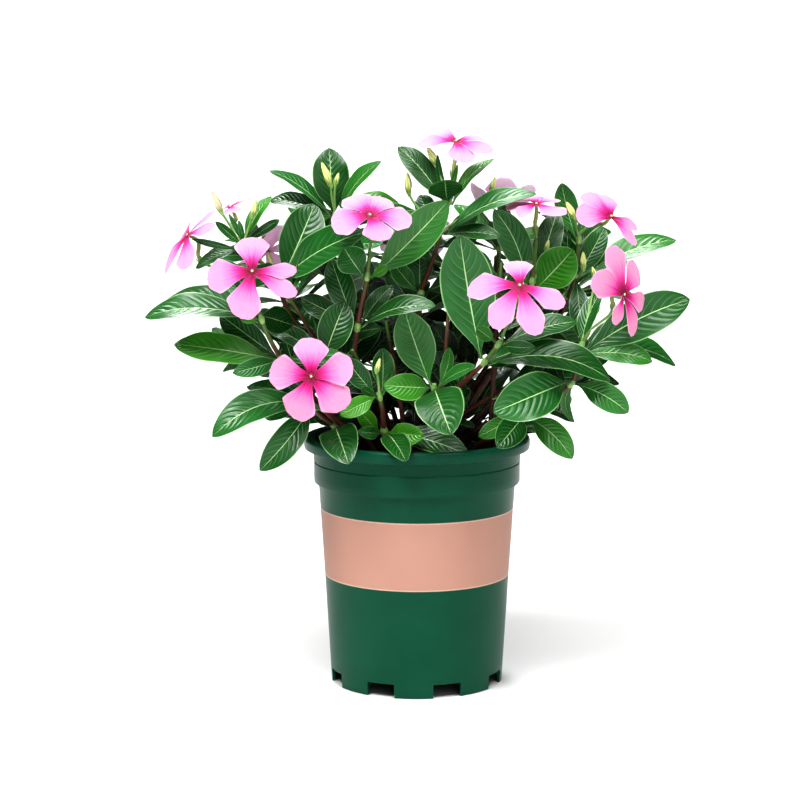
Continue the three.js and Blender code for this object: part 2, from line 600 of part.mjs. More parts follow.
function* leafTries(frame, { tip, width, arch = LEAF_ARCH, bow = 0 }, shift) {
  for (const shortening of SHORTENINGS) {
    for (const change of ARCH_CHANGES) {
      for (const depth of DEPTH_SHIFTS) {
        const end = shift(tip, depth).lerp(frame.centre, shortening)
        yield leafStrip(frame, end, width, arch + change, bow)
      }
    }
  }
}

function addWhorl(name, shoot, centre, leaves, buds, shift) {
  const frame = whorlFrame(shoot, centre)
  const blades = []
  let solid = collarSolid(frame.centre, frame.along, frame.hole)
  for (const [tip, base] of buds) {
    const bud = budStrip(frame, tip, base)
    solid = solid.add(settle([bud], name, blades))
  }
  for (const leaf of leaves) solid = solid.add(settle(leafTries(frame, leaf, shift), name, blades))
  keep(solid, name)
  addPiece(name, solid, 'leaf')
}

// Slide a point along its sight line, or up and down where nobody reads it.
const slide = (tip, depth) =>
  tip.clone().sub(EYE).multiplyScalar(1 + depth / -EYE.y).add(EYE)
const raise = (tip, depth) => tip.clone().add(new THREE.Vector3(0, 0, depth))

// A flower stalk ends just above its shoot's tip, or just off the side of the stem.
const SEAT = 0.6
function rootOf(flower, shoot) {
  if (!flower.side) return shoot.points.at(-1).clone().addScaledVector(shoot.curve.getTangent(1), SEAT)
  const foot = shoot.curve.getPointAt(flower.side)
  const along = shoot.curve.getTangentAt(flower.side)
  const reach = seen(...flower.stalk.at(-1)).sub(foot)
  reach.addScaledVector(along, -reach.dot(along)).normalize()
  return foot.addScaledVector(reach, stemRadius(shoot, flower.side) + SEAT)
}

const pot = potSolid()
const soil = soilSolid()
keep(pot, 'nursery_pot')
keep(soil, 'potting_soil')
addPiece('nursery_pot', pot, 'pot')
addPiece('potting_soil', soil, 'soil')

const shoots = [...SHOOTS, ...FAR_SHOOTS].map(shootOf)
for (const shoot of shoots) {
  const solid = stemSolid(shoot)
  keep(solid, `stem_${shoot.name}`)
  addPiece(`stem_${shoot.name}`, solid, 'stem')
}

for (const flower of FLOWERS) {
  const shoot = shoots.find(({ name }) => name === flower.shoot)
  flower.root = rootOf(flower, shoot)
  const { petals, stalk } = flowerStrips(flower)
  let solid = stripSolid(stalk)
  petals.forEach((petal) => { solid = solid.add(stripSolid(petal)) })
  keep(solid, `flower_${flower.name}`)
  addPiece(`flower_${flower.name}`, solid, 'flower')
}

for (const shoot of shoots) {
  const whorls = shoot.whorls ?? []
  whorls.forEach((whorl, index) => {
    const centre = shoot.points[whorl.at + 2]
    const leaves = whorl.leaves.map(([x, z, deeper, width, arch, bow]) =>
      ({ tip: seen(x, z, centre.y + deeper), width, arch, bow }))
    const buds = (whorl.buds ?? []).map(([x, z, baseX, baseZ, deeper]) =>
      [seen(x, z, centre.y + deeper), seen(baseX, baseZ, centre.y + deeper)])
    addWhorl(`leaves_${shoot.name}_${index + 1}`, shoot, centre, leaves, buds, slide)
  })
}

// Leaves of the far whorls: turned around the tip by the golden angle, long and short by turns.
const GOLDEN_TURN = 2.4
const FAR_WHORL_AT = 0.93
const SHORTEST_FAR_LEAF = 42
const LONGEST_FAR_LEAF = 72
const STEEPEST_RISE = 38
const RISE_STEP = 11
const FAR_WIDTH_TO_LENGTH = 0.4
for (const [number, shoot] of shoots.entries()) {
  if (!shoot.leaves) continue
  const centre = shoot.curve.getPointAt(FAR_WHORL_AT)
  const leaves = []
  for (let index = 0; index < shoot.leaves; index++) {
    const turn = index * GOLDEN_TURN + number
    const share = ((index * 5 + number) % 8) / 7
    const length = (shoot.scale ?? 1) * THREE.MathUtils.lerp(SHORTEST_FAR_LEAF, LONGEST_FAR_LEAF, share)
    const rise = THREE.MathUtils.degToRad(STEEPEST_RISE - RISE_STEP * (index % 5))
    const tip = new THREE.Vector3(Math.cos(turn), Math.sin(turn), Math.tan(rise))
    tip.normalize().multiplyScalar(length).add(centre)
    leaves.push({ tip, width: length * FAR_WIDTH_TO_LENGTH })
  }
  addWhorl(`leaves_${shoot.name}_1`, shoot, centre, leaves, [], raise)
}
export default plant
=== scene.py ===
import math
import random
from itertools import product

import bmesh
import bpy
from mathutils import Matrix, Vector, noise
from mathutils.kdtree import KDTree


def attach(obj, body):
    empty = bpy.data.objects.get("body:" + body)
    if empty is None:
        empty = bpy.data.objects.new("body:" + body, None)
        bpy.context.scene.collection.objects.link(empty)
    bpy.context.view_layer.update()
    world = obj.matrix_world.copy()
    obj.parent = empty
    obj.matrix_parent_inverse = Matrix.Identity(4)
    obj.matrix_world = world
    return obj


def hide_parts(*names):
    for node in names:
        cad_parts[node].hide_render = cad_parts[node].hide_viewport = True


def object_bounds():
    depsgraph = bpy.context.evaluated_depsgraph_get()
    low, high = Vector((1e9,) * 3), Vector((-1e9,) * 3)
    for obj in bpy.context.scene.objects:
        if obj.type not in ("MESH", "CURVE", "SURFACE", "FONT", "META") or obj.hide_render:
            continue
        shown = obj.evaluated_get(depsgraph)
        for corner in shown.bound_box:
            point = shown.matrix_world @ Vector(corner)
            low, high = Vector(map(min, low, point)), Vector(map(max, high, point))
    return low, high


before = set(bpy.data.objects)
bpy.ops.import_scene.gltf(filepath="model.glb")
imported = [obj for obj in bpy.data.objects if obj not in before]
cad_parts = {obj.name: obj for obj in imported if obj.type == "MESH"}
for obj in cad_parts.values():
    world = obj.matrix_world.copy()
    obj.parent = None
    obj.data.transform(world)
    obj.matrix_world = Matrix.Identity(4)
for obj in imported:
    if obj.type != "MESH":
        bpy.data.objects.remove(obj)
cad_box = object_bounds()


# The nursery pot: one thin shell of moulded green plastic with a rolled rim, a stepped neck with a
# fine groove and a tapered body. It stands on its lower edge, which eight drainage notches break.
# The peach band is printed around the body and is plain.
POT_STEPS = 144
NOTCH_COUNT = 8
NOTCH_TURN = math.radians(20.5)
NOTCH_SIZE = (0.021, 0.026, 0.020)
POT_PROFILE = [
    (0.0, 0.0070), (0.0612, 0.0070), (0.0610, 0.0), (0.0628, 0.0), (0.0640, 0.0200), (0.0672, 0.0735),
    (0.0702, 0.1210), (0.0718, 0.1468), (0.0722, 0.1476), (0.0748, 0.1480), (0.0752, 0.1488),
    (0.0753, 0.1540), (0.0753, 0.1626), (0.0749, 0.1631), (0.0748, 0.1635), (0.0749, 0.1639),
    (0.0755, 0.1644), (0.0756, 0.1680), (0.0758, 0.1718), (0.0764, 0.1724), (0.0806, 0.1726),
    (0.0820, 0.1731), (0.0825, 0.1744), (0.0825, 0.1786), (0.0822, 0.1800), (0.0815, 0.1809),
    (0.0804, 0.1813), (0.0770, 0.1813), (0.0757, 0.1810), (0.0748, 0.1802), (0.0740, 0.1788),
    (0.0738, 0.1760), (0.0737, 0.1500), (0.0700, 0.1460), (0.0664, 0.0800), (0.0616, 0.0092),
    (0.0, 0.0092),
]


def add_piece(name, bm, materials):
    """A finished shape as an object at the origin, with its curved faces shaded smooth."""
    mesh = bpy.data.meshes.new(name)
    bm.to_mesh(mesh)
    bm.free()
    for material in materials:
        mesh.materials.append(material)
    mesh.shade_smooth()
    mesh.set_sharp_from_angle(angle=math.radians(48))
    piece = bpy.data.objects.new(name, mesh)
    bpy.context.scene.collection.objects.link(piece)
    return piece


def new_material(name):
    """A material, its node tree and its surface shader."""
    material = bpy.data.materials.new(name)
    material.use_nodes = True
    return material, material.node_tree, material.node_tree.nodes["Principled BSDF"]


def object_place(tree):
    """Where a point lies on its piece, in metres."""
    return tree.nodes.new("ShaderNodeTexCoord").outputs["Object"]


def calc(tree, operation, *values):
    """A maths node over numbers and sockets."""
    node = tree.nodes.new("ShaderNodeMath")
    node.operation = operation
    for socket, value in zip(node.inputs, values):
        if isinstance(value, (int, float)):
            socket.default_value = value
        else:
            tree.links.new(value, socket)
    return node.outputs[0]


def soft_step(tree, value, low, high):
    """A soft step from 0 at low to 1 at high."""
    node = tree.nodes.new("ShaderNodeMapRange")
    node.interpolation_type = "SMOOTHSTEP"
    node.inputs["From Min"].default_value = low
    node.inputs["From Max"].default_value = high
    tree.links.new(value, node.inputs["Value"])
    return node.outputs["Result"]


def lay_over(tree, share, under, over):
    """One colour laid over another; share says how much of the upper one shows."""
    node = tree.nodes.new("ShaderNodeMix")
    node.data_type = "RGBA"
    tree.links.new(share, node.inputs[0])
    for socket, colour in ((node.inputs[6], under), (node.inputs[7], over)):
        if isinstance(colour, tuple):
            socket.default_value = (*colour, 1.0)
        else:
            tree.links.new(colour, socket)
    return node.outputs[2]


def clouds(tree, vector, scale, detail=2.0):
    """A soft noise field over a vector."""
    node = tree.nodes.new("ShaderNodeTexNoise")
    node.inputs["Scale"].default_value = scale
    node.inputs["Detail"].default_value = detail
    tree.links.new(vector, node.inputs["Vector"])
    return node.outputs["Fac"]


def finish_skin(tree, shader, colour, roughness, height, depth):
    """A surface's colour, its roughness, and its relief with its greatest depth in metres."""
    tree.links.new(colour, shader.inputs["Base Color"])
    if isinstance(roughness, float):
        shader.inputs["Roughness"].default_value = roughness
    else:
        tree.links.new(roughness, shader.inputs["Roughness"])
    node = tree.nodes.new("ShaderNodeBump")
    node.inputs["Distance"].default_value = depth
    tree.links.new(height, node.inputs["Height"])
    tree.links.new(node.outputs["Normal"], shader.inputs["Normal"])


def pot_plastic():
    material, tree, shader = new_material("pot_plastic")
    place = object_place(tree)
    axes = tree.nodes.new("ShaderNodeSeparateXYZ")
    tree.links.new(place, axes.inputs[0])
    height = axes.outputs["Z"]
    grain = clouds(tree, place, 1100.0)
    drift = clouds(tree, place, 30.0)
    green = lay_over(tree, drift, (0.003, 0.058, 0.030), (0.004, 0.083, 0.044))
    peach = lay_over(tree, drift, (0.47, 0.255, 0.195), (0.51, 0.28, 0.215))
    line = calc(tree, "ADD", height, calc(tree, "MULTIPLY", grain, 0.0003))
    above = soft_step(tree, line, 0.0794, 0.0797)
    below = calc(tree, "SUBTRACT", 1.0, soft_step(tree, line, 0.1293, 0.1296))
    squares = [calc(tree, "MULTIPLY", axes.outputs[axis], axes.outputs[axis]) for axis in ("X", "Y")]
    radius = calc(tree, "SQRT", calc(tree, "ADD", *squares))
    skin = calc(tree, "SUBTRACT", radius, calc(tree, "MULTIPLY", height, 0.0612))
    outside = soft_step(tree, skin, 0.0616, 0.0620)
    band = calc(tree, "MULTIPLY", calc(tree, "MULTIPLY", above, below), outside)
    from_middle = calc(tree, "ABSOLUTE", calc(tree, "SUBTRACT", line, 0.1045))
    border = calc(tree, "MULTIPLY", soft_step(tree, from_middle, 0.0238, 0.0243), 0.6)
    peach = lay_over(tree, border, peach, (0.70, 0.50, 0.40))
    printed = lay_over(tree, band, green, peach)
    shader.inputs["Specular IOR Level"].default_value = 0.13
    gloss = calc(tree, "MULTIPLY_ADD", drift, 0.10, 0.30)
    gloss = calc(tree, "MULTIPLY_ADD", band, 0.14, gloss)
    finish_skin(tree, shader, printed, gloss, calc(tree, "MULTIPLY_ADD", band, 0.5, grain), 0.00006)
    return material


def notch_blocks():
    """The blocks that cut the drainage notches."""
    bm = bmesh.new()
    for number in range(NOTCH_COUNT):
        block = bmesh.ops.create_cube(bm, size=1.0)["verts"]
        bmesh.ops.scale(bm, verts=block, vec=NOTCH_SIZE)
        bmesh.ops.translate(bm, verts=block, vec=(0, -0.063, 0))
        turn = Matrix.Rotation(NOTCH_TURN + number * math.tau / NOTCH_COUNT, 3, "Z")
        bmesh.ops.rotate(bm, verts=block, cent=(0, 0, 0), matrix=turn)
    return add_piece("notch_blocks", bm, [])


def cut_away(piece, cutter):
    """Cut one piece with another, which is then gone."""
    cut = piece.modifiers.new("cut", "BOOLEAN")
    cut.operation = "DIFFERENCE"
    cut.solver = "EXACT"
    cut.object = cutter
    shaped = piece.evaluated_get(bpy.context.evaluated_depsgraph_get())
    piece.data = bpy.data.meshes.new_from_object(shaped)
    piece.modifiers.clear()
    bpy.data.objects.remove(cutter)


bm = bmesh.new()
outline = [bm.verts.new((radius, 0.0, height)) for radius, height in POT_PROFILE]
wire = [bm.edges.new(pair) for pair in zip(outline, outline[1:])]
bmesh.ops.spin(bm, geom=outline + wire, axis=(0, 0, 1), angle=math.tau, steps=POT_STEPS, use_merge=True)
bmesh.ops.remove_doubles(bm, verts=bm.verts, dist=1e-6)
bmesh.ops.recalc_face_normals(bm, faces=bm.faces)
pot = add_piece("moulded_pot", bm, [pot_plastic()])
cut_away(pot, notch_blocks())
pot.data.set_sharp_from_angle(angle=math.radians(30))
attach(pot, "root")
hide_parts("nursery_pot")


# The potting soil: one plug of moist, dark peat mix that fills the pot. Its top is loose, with
# crumbs of bark and a few white grains of perlite pressed into it.
SOIL_TOP = 0.168
SOIL_RADIUS = 0.0722
CRUMBS = 420


def peat():
    material, tree, shader = new_material("moist_peat")
    place = object_place(tree)
    fine = clouds(tree, place, 700.0, 6.0)
    coarse = clouds(tree, place, 160.0, 4.0)
    lumps = soft_step(tree, fine, 0.35, 0.7)
    dark = lay_over(tree, lumps, (0.008, 0.005, 0.003), (0.050, 0.030, 0.018))
    brown = lay_over(tree, soft_step(tree, coarse, 0.5, 0.8), dark, (0.075, 0.042, 0.022))
    finish_skin(tree, shader, brown, 0.9, calc(tree, "ADD", fine, coarse), 0.0012)
    return material


def perlite():
    material, tree, shader = new_material("perlite")
    place = object_place(tree)
    grain = clouds(tree, place, 1500.0, 3.0)
    white = lay_over(tree, grain, (0.42, 0.40, 0.36), (0.78, 0.76, 0.70))
    finish_skin(tree, shader, white, 0.85, grain, 0.0003)
    return material


def soil_height(x, y):
    """The height of the loose top of the soil, a little lower towards the wall."""
    lumps = 0.0013 * noise.noise(Vector((x * 90, y * 90, 1.7)))
    grains = 0.0006 * noise.noise(Vector((x * 300, y * 300, 4.2)))
    return SOIL_TOP + 0.0012 + lumps + grains - 0.0016 * (math.hypot(x, y) / SOIL_RADIUS) ** 6


soil_material = peat()
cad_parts["potting_soil"].data.materials.clear()
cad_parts["potting_soil"].data.materials.append(soil_material)
luck = random.Random(11)
bm = bmesh.new()
grid = bmesh.ops.create_grid(bm, x_segments=72, y_segments=72, size=1.0)["verts"]
for vert in grid:
    reach = max(abs(vert.co.x), abs(vert.co.y))
    angle = math.atan2(vert.co.y, vert.co.x)
    x = reach * SOIL_RADIUS * math.cos(angle)
    y = reach * SOIL_RADIUS * math.sin(angle)
    vert.co = (x, y, soil_height(x, y))
bm.normal_update()
bmesh.ops.solidify(bm, geom=bm.faces[:], thickness=0.0008)
for number in range(CRUMBS):
    reach = SOIL_RADIUS * 0.96 * math.sqrt(luck.random())
    angle = luck.uniform(0, math.tau)
    x = reach * math.cos(angle)
    y = reach * math.sin(angle)
    white = number % 9 == 0
    size = luck.uniform(0.0006, 0.0012) if white else luck.uniform(0.0008, 0.0022)
    crumb = bmesh.ops.create_icosphere(bm, subdivisions=1, radius=size)["verts"]
    flake = (luck.uniform(0.9, 1.6), luck.uniform(0.5, 1.0), luck.uniform(0.3, 0.6))
    stretch = (1.0, 1.0, 0.8) if white else flake
    bmesh.ops.scale(bm, verts=crumb, vec=stretch)
    for vert in crumb:
        vert.co *= luck.uniform(0.8, 1.15)
    turn = Matrix.Rotation(luck.uniform(0, math.tau), 3, "Z")
    bmesh.ops.rotate(bm, verts=crumb, cent=(0, 0, 0), matrix=turn)
    bmesh.ops.translate(bm, verts=crumb, vec=(x, y, soil_height(x, y)))
    if white:
        for face in {face for vert in crumb for face in vert.link_faces}:
            face.material_index = 1
crumbs = add_piece("soil_crumbs", bm, [soil_material, perlite()])
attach(crumbs, "root")


# The stems: woody red-brown shoots that are rooted in the soil and fork low down, round in
# section. They turn green and soft towards their tips.
def merged_copy(name):
    """A copy of a CAD node as one joined shape."""
    bm = bmesh.new()
    bm.from_mesh(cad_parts[name].data)
    bmesh.ops.remove_doubles(bm, verts=bm.verts, dist=1e-6)
    bm.verts.index_update()
    return bm


def rings_beyond(start, count):
    """The rings of corners that follow on some first corners, while each has the same count."""
    rings = []
    known = set(start)
    last = set(start)
    while True:
        ring = {edge.other_vert(vert) for vert in last for edge in vert.link_edges} - known
        if len(ring) != count:
            return rings
        rings.append([vert.co.copy() for vert in sorted(ring, key=lambda vert: vert.index)])
        known |= ring
        last = ring


def middle_of(points):
    return sum(points, Vector()) / len(points)


def smooth_path(points, step):
    """Points a step apart on a smooth line through the given ones."""
    path = []
    for index in range(len(points) - 1):
        before = points[max(0, index - 1)]
        start = points[index]
        end = points[index + 1]
        after = points[min(len(points) - 1, index + 2)]
        pieces = max(1, round((end - start).length / step))
        for piece in range(pieces):
            t = piece / pieces
            bend = 2 * start + (end - before) * t + (2 * before - 5 * start + 4 * end - after) * t * t
            path.append((bend + (3 * start - before - 3 * end + after) * t * t * t) / 2)
    return [*path, points[-1].copy()]


def grow_tube(bm, path, radii, sides, look, tone=0.5, ribs=(0, 0.0, 0.0)):
    """A round, closed body extruded ring by ring along a path, smooth or with twisted ribs."""
    across_layer, along_layer, tone_layer = growth_layers(bm)
    ring = bmesh.ops.create_circle(bm, segments=sides, radius=1.0)["verts"]
    edges = list({edge for vert in ring for edge in vert.link_edges})
    rings = [ring]
    ends = [edges]
    for _ in path[1:]:
        grown = bmesh.ops.extrude_edge_only(bm, edges=edges)["geom"]
        rings.append([item for item in grown if isinstance(item, bmesh.types.BMVert)])
        edges = [item for item in grown if isinstance(item, bmesh.types.BMEdge)]
        ends.append(edges)
    side = None
    ribs_count, depth, twist = ribs
    for index, ring in enumerate(rings):
        ahead = path[min(index + 1, len(path) - 1)] - path[max(index - 1, 0)]
        ahead.normalize()
        side = ahead.orthogonal() if side is None else side - ahead * side.dot(ahead)
        side.normalize()
        up = ahead.cross(side)
        share = index / (len(path) - 1)
        for vert in ring:
            angle = math.atan2(vert.co.y, vert.co.x)
            radius = radii[index] * (1 + depth * math.cos(ribs_count * angle + twist * share))
            vert.co = path[index] + (side * math.cos(angle) + up * math.sin(angle)) * radius
            vert[across_layer] = math.cos(ribs_count * angle + twist * share)
            vert[along_layer] = share
            vert[tone_layer] = tone
    caps = [bmesh.ops.edgeloop_fill(bm, edges=edges)["faces"] for edges in (ends[0], ends[-1])]
    faces = {face for ring in rings for vert in ring for face in vert.link_faces}
    for face in faces:
        face.material_index = look
    bmesh.ops.recalc_face_normals(bm, faces=list(faces))
    return caps


def growth_layers(bm):
    """Where a point lies on its organ: across it, along it, and the organ's own tone, which below zero
    marks a leaf that gets painted shade.
    """
    layers = bm.verts.layers.float
    return [layers.get(name) or layers.new(name) for name in ("across", "along", "tone")]


def read_growth(tree, name):
    node = tree.nodes.new("ShaderNodeAttribute")
    node.attribute_name = name
    return node.outputs["Fac"]


def bark():
    material, tree, shader = new_material("young_bark")
    place = object_place(tree)
    squeeze = tree.nodes.new("ShaderNodeMapping")
    squeeze.inputs["Scale"].default_value = (1.0, 1.0, 0.18)
    tree.links.new(place, squeeze.inputs["Vector"])
    streaks = clouds(tree, squeeze.outputs[0], 900.0, 3.0)
    drift = clouds(tree, place, 60.0)
    brown = lay_over(tree, streaks, (0.050, 0.012, 0.006), (0.150, 0.042, 0.020))
    woody = lay_over(tree, streaks, (0.012, 0.005, 0.003), (0.040, 0.016, 0.009))
    brown = lay_over(tree, soft_step(tree, read_growth(tree, "along"), 0.1, 0.5), woody, brown)
    green = lay_over(tree, drift, (0.075, 0.160, 0.030), (0.120, 0.210, 0.045))
    young = soft_step(tree, calc(tree, "MULTIPLY_ADD", drift, 0.25, read_growth(tree, "along")), 0.86, 1.08)
    finish_skin(tree, shader, lay_over(tree, young, brown, green), 0.42, streaks, 0.00025)
    return material


def stem_radius(share):
    """How thick a stem is at a share of its length."""
    return 0.0026 - 0.0012 * share


bark_material = bark()
stem_paths = {}
for name in sorted(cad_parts):
    if not name.startswith("stem_"):
        continue
    source = merged_copy(name)
    foot = sorted(source.verts, key=lambda vert: vert.co.z)[:6]
    centres = [middle_of([vert.co for vert in foot])]
    centres += [middle_of(ring) for ring in rings_beyond(foot, 6)]
    source.free()
    centres[0].z = SOIL_TOP + 0.0004
    path = smooth_path(centres, 0.004)
    stem_paths[name.removeprefix("stem_")] = path
    bm = bmesh.new()
    last = len(path) - 1
    radii = [stem_radius(index / last) + 0.0008 * math.exp(-index * 0.7) for index in range(last + 1)]
    radii[-1] = 0.0007
    grow_tube(bm, path, radii, 12, 0)
    stem = add_piece("shoot_" + name.removeprefix("stem_"), bm, [bark_material])
    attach(stem, "root")
    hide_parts(name)


# The leaves: thin, glossy oval blades, each on a short stalk that runs on as a pale midrib. A
# blade is a little folded along it, with curved side veins, a fine pale margin and a matt underside.
LEAF_OUTLINE = [
    (0.0, 0.07), (0.07, 0.08), (0.17, 0.35), (0.3, 0.74), (0.42, 0.94), (0.55, 1.0), (0.7, 0.95),
    (0.82, 0.77), (0.91, 0.51), (0.965, 0.29), (1.0, 0.03),
]
LEAF_THICKNESS = 0.00035
LEAF_TOP, LEAF_UNDER, LEAF_RIB, BUD_SKIN = range(4)


def read_outline(outline, share):
    """The half-width at a share of the length, on a smooth line through the outline's points."""
    index = 0
    while index < len(outline) - 2 and share > outline[index + 1][0]:
        index += 1
    start, low = outline[index]
    end, high = outline[index + 1]
    before = outline[max(0, index - 1)]
    after = outline[min(len(outline) - 1, index + 2)]
    span = end - start
    leave = span * (high - before[1]) / (end - before[0])
    arrive = span * (after[1] - low) / (after[0] - start)
    t = (share - start) / span
    bend = (2 * low - 2 * high + leave + arrive) * t + 3 * high - 3 * low - 2 * leave - arrive
    return (bend * t + leave) * t + low


def spine_point(spine, share):
    start, middle, end = spine
    rest = 1 - share
    return start * rest * rest + middle * 2 * rest * share + end * share * share


def spine_direction(spine, share):
    start, middle, end = spine
    return ((middle - start) * (1 - share) + (end - middle) * share).normalized()


def grow_blade(bm, spine, facing, columns, rows, place, thickness, looks, tone):
    """A thin closed blade: place() turns a grid's across and along into a share of the spine, a
    distance sideways and a lift."""
    layers = growth_layers(bm)
    grid = bmesh.ops.create_grid(bm, x_segments=columns, y_segments=rows, size=1.0)["verts"]
    for vert in grid:
        across = vert.co.x
        along = (vert.co.y + 1) / 2
        share, sideways, lift = place(across, along)
        ahead = spine_direction(spine, share)
        side = ahead.cross(facing).normalized()
        vert.co = spine_point(spine, share) + side * sideways + side.cross(ahead) * lift
        for layer, value in zip(layers, (across, share, tone)):
            vert[layer] = value
    top = {face for vert in grid for face in vert.link_faces}
    sheet = [*grid, *{edge for face in top for edge in face.edges}, *top]
    back = bmesh.ops.extrude_face_region(bm, geom=sheet, use_keep_orig=True)["geom"]
    lower = [item for item in back if isinstance(item, bmesh.types.BMVert)]
    bmesh.ops.translate(bm, verts=lower, vec=-facing * thickness)
    shell = {face for vert in [*grid, *lower] for face in vert.link_faces}
    bmesh.ops.recalc_face_normals(bm, faces=list(shell))
    for face in shell:
        face.material_index = looks[0] if face in top else looks[1]
    return [vert.co.copy() for vert in grid]


def grow_leaf(bm, spine, facing, half, tone, wave, columns=12, rows=24):
    """A leaf with its stalk and midrib. Returns the points of its blade."""
    length = (spine[2] - spine[0]).length

    def place(across, along):
        share = 1 - (1 - along) ** 1.45
        width = read_outline(LEAF_OUTLINE, share)
        reach = max(half * width, 0.0007)
        edge = abs(across)
        fold = 0.24 * width * reach * edge ** 1.2
        phase = wave + 15 * share + (2.1 if across > 0 else 0)
        ripple = 0.045 * reach * width * edge ** 2 * math.sin(phase)
        return share, across * reach, fold + ripple

    looks = (LEAF_TOP, LEAF_UNDER)
    points = grow_blade(bm, spine, facing, columns, rows, place, LEAF_THICKNESS, looks, tone)
    steps = max(6, round(length / 0.006))
    path = []
    radii = []
    for step in range(steps + 1):
        share = 0.9 * step / steps
        ahead = spine_direction(spine, share)
        up = ahead.cross(facing).cross(ahead).normalized()
        radius = (0.00070 - 0.00055 * share) * min(1.0, 0.6 + length / 0.16)
        radii.append(radius)
        path.append(spine_point(spine, share) - up * (0.0002 + radius * 0.6))
    grow_tube(bm, path, radii, 6, LEAF_RIB, tone)
    return points


def painted_inner_shade(tree, tone):
    """How much painted shade a leaf carries, as the leaves deep in the bush lie in shade."""
    return soft_step(tree, calc(tree, "MULTIPLY", tone, -1.0), 0.0, 0.5)


def side_veins(tree, across, along, tone, drift):
    """The distance from the nearest side vein, which leaves the midrib and bends to the tip."""
    edge = calc(tree, "ABSOLUTE", across)
    side = calc(tree, "GREATER_THAN", across, 0.0)
    forward = calc(tree, "MULTIPLY", calc(tree, "POWER", edge, 1.35), 0.26)
    run = calc(tree, "SUBTRACT", calc(tree, "MULTIPLY_ADD", drift, 0.05, along), forward)
    lap = calc(tree, "MULTIPLY_ADD", run, 11.0, calc(tree, "MULTIPLY_ADD", side, 0.35, tone))
    return calc(tree, "ABSOLUTE", calc(tree, "SUBTRACT", calc(tree, "FRACT", lap), 0.5))


def leaf_top():
    material, tree, shader = new_material("leaf_top")
    across = read_growth(tree, "across")
    along = read_growth(tree, "along")
    tone = read_growth(tree, "tone")
    edge = calc(tree, "ABSOLUTE", across)
    place = object_place(tree)
    drift = clouds(tree, place, 55.0)
    ridge = side_veins(tree, across, along, tone, drift)
    towards_margin = calc(tree, "SUBTRACT", 1.0, soft_step(tree, edge, 0.35, 0.95))
    vein = calc(tree, "SUBTRACT", 1.0, soft_step(tree, ridge, 0.01, 0.10))
    vein = calc(tree, "MULTIPLY", vein, towards_margin)
    rib_width = calc(tree, "MULTIPLY_ADD", along, -0.020, 0.040)
    rib = calc(tree, "SUBTRACT", 1.0, soft_step(tree, calc(tree, "DIVIDE", edge, rib_width), 0.55, 1.15))
    margin = soft_step(tree, edge, 0.930, 0.985)
    old = lay_over(tree, drift, (0.002, 0.042, 0.003), (0.009, 0.088, 0.009))
    grown = lay_over(tree, drift, (0.006, 0.085, 0.010), (0.019, 0.155, 0.021))
    fresh = lay_over(tree, drift, (0.034, 0.220, 0.006), (0.082, 0.330, 0.014))
    green = lay_over(tree, soft_step(tree, tone, 0.05, 0.50), old, grown)
    green = lay_over(tree, soft_step(tree, tone, 0.45, 1.0), green, fresh)
    # Painted shade: leaves deep in the bush are laid over with a near-black green.
    green = lay_over(tree, painted_inner_shade(tree, tone), green, (0.001, 0.018, 0.001))
    green = lay_over(tree, calc(tree, "MULTIPLY", vein, 0.45), green, (0.100, 0.340, 0.100))
    # The pale margin is dimmed on leaves with painted shade.
    lined = calc(tree, "MULTIPLY", margin, calc(tree, "MULTIPLY_ADD", painted_inner_shade(tree, tone), -0.5, 0.8))
    green = lay_over(tree, lined, green, (0.300, 0.560, 0.220))
    # The pale midrib turns dark green on leaves with painted shade.
    pale = lay_over(tree, painted_inner_shade(tree, tone), (0.480, 0.700, 0.320), (0.070, 0.180, 0.045))
    green = lay_over(tree, rib, green, pale)
    matt = calc(tree, "MULTIPLY_ADD", painted_inner_shade(tree, tone), 0.3, calc(tree, "MULTIPLY", drift, 0.16))
    matt = calc(tree, "ADD", matt, 0.24)
    shader.inputs["Specular IOR Level"].default_value = 0.5
    swell = calc(tree, "MULTIPLY", soft_step(tree, ridge, 0.0, 0.40), towards_margin)
    quilt = calc(tree, "MULTIPLY", swell, calc(tree, "SUBTRACT", 1.0, rib))
    fine = clouds(tree, place, 500.0, 3.0)
    finish_skin(tree, shader, green, matt, calc(tree, "MULTIPLY_ADD", fine, 0.2, quilt), 0.00032)
    return material


def leaf_under():
    material, tree, shader = new_material("leaf_underside")
    across = read_growth(tree, "across")
    along = read_growth(tree, "along")
    tone = read_growth(tree, "tone")
    place = object_place(tree)
    drift = clouds(tree, place, 70.0)
    ridge = side_veins(tree, across, along, tone, drift)
    vein = calc(tree, "SUBTRACT", 1.0, soft_step(tree, ridge, 0.02, 0.12))
    pale = lay_over(tree, drift, (0.040, 0.140, 0.036), (0.070, 0.200, 0.055))
    # Painted shade: undersides of leaves deep in the bush turn near-black green.
    pale = lay_over(tree, painted_inner_shade(tree, tone), pale, (0.004, 0.030, 0.004))
    veined = lay_over(tree, calc(tree, "MULTIPLY", vein, 0.4), pale, (0.180, 0.340, 0.130))
    finish_skin(tree, shader, veined, 0.5, vein, 0.0003)
    return material


def leaf_rib():
    material, tree, shader = new_material("leaf_stalk")
    along = read_growth(tree, "along")
    drift = clouds(tree, object_place(tree), 220.0)
    pale = lay_over(tree, drift, (0.290, 0.450, 0.120), (0.430, 0.600, 0.240))
    pale = lay_over(tree, soft_step(tree, along, 0.1, 0.9), pale, (0.170, 0.360, 0.090))
    # Painted shade: stalks and midribs of leaves deep in the bush are darkened.
    pale = lay_over(tree, painted_inner_shade(tree, read_growth(tree, "tone")), pale, (0.050, 0.130, 0.030))
    finish_skin(tree, shader, pale, 0.4, drift, 0.0002)
    return material


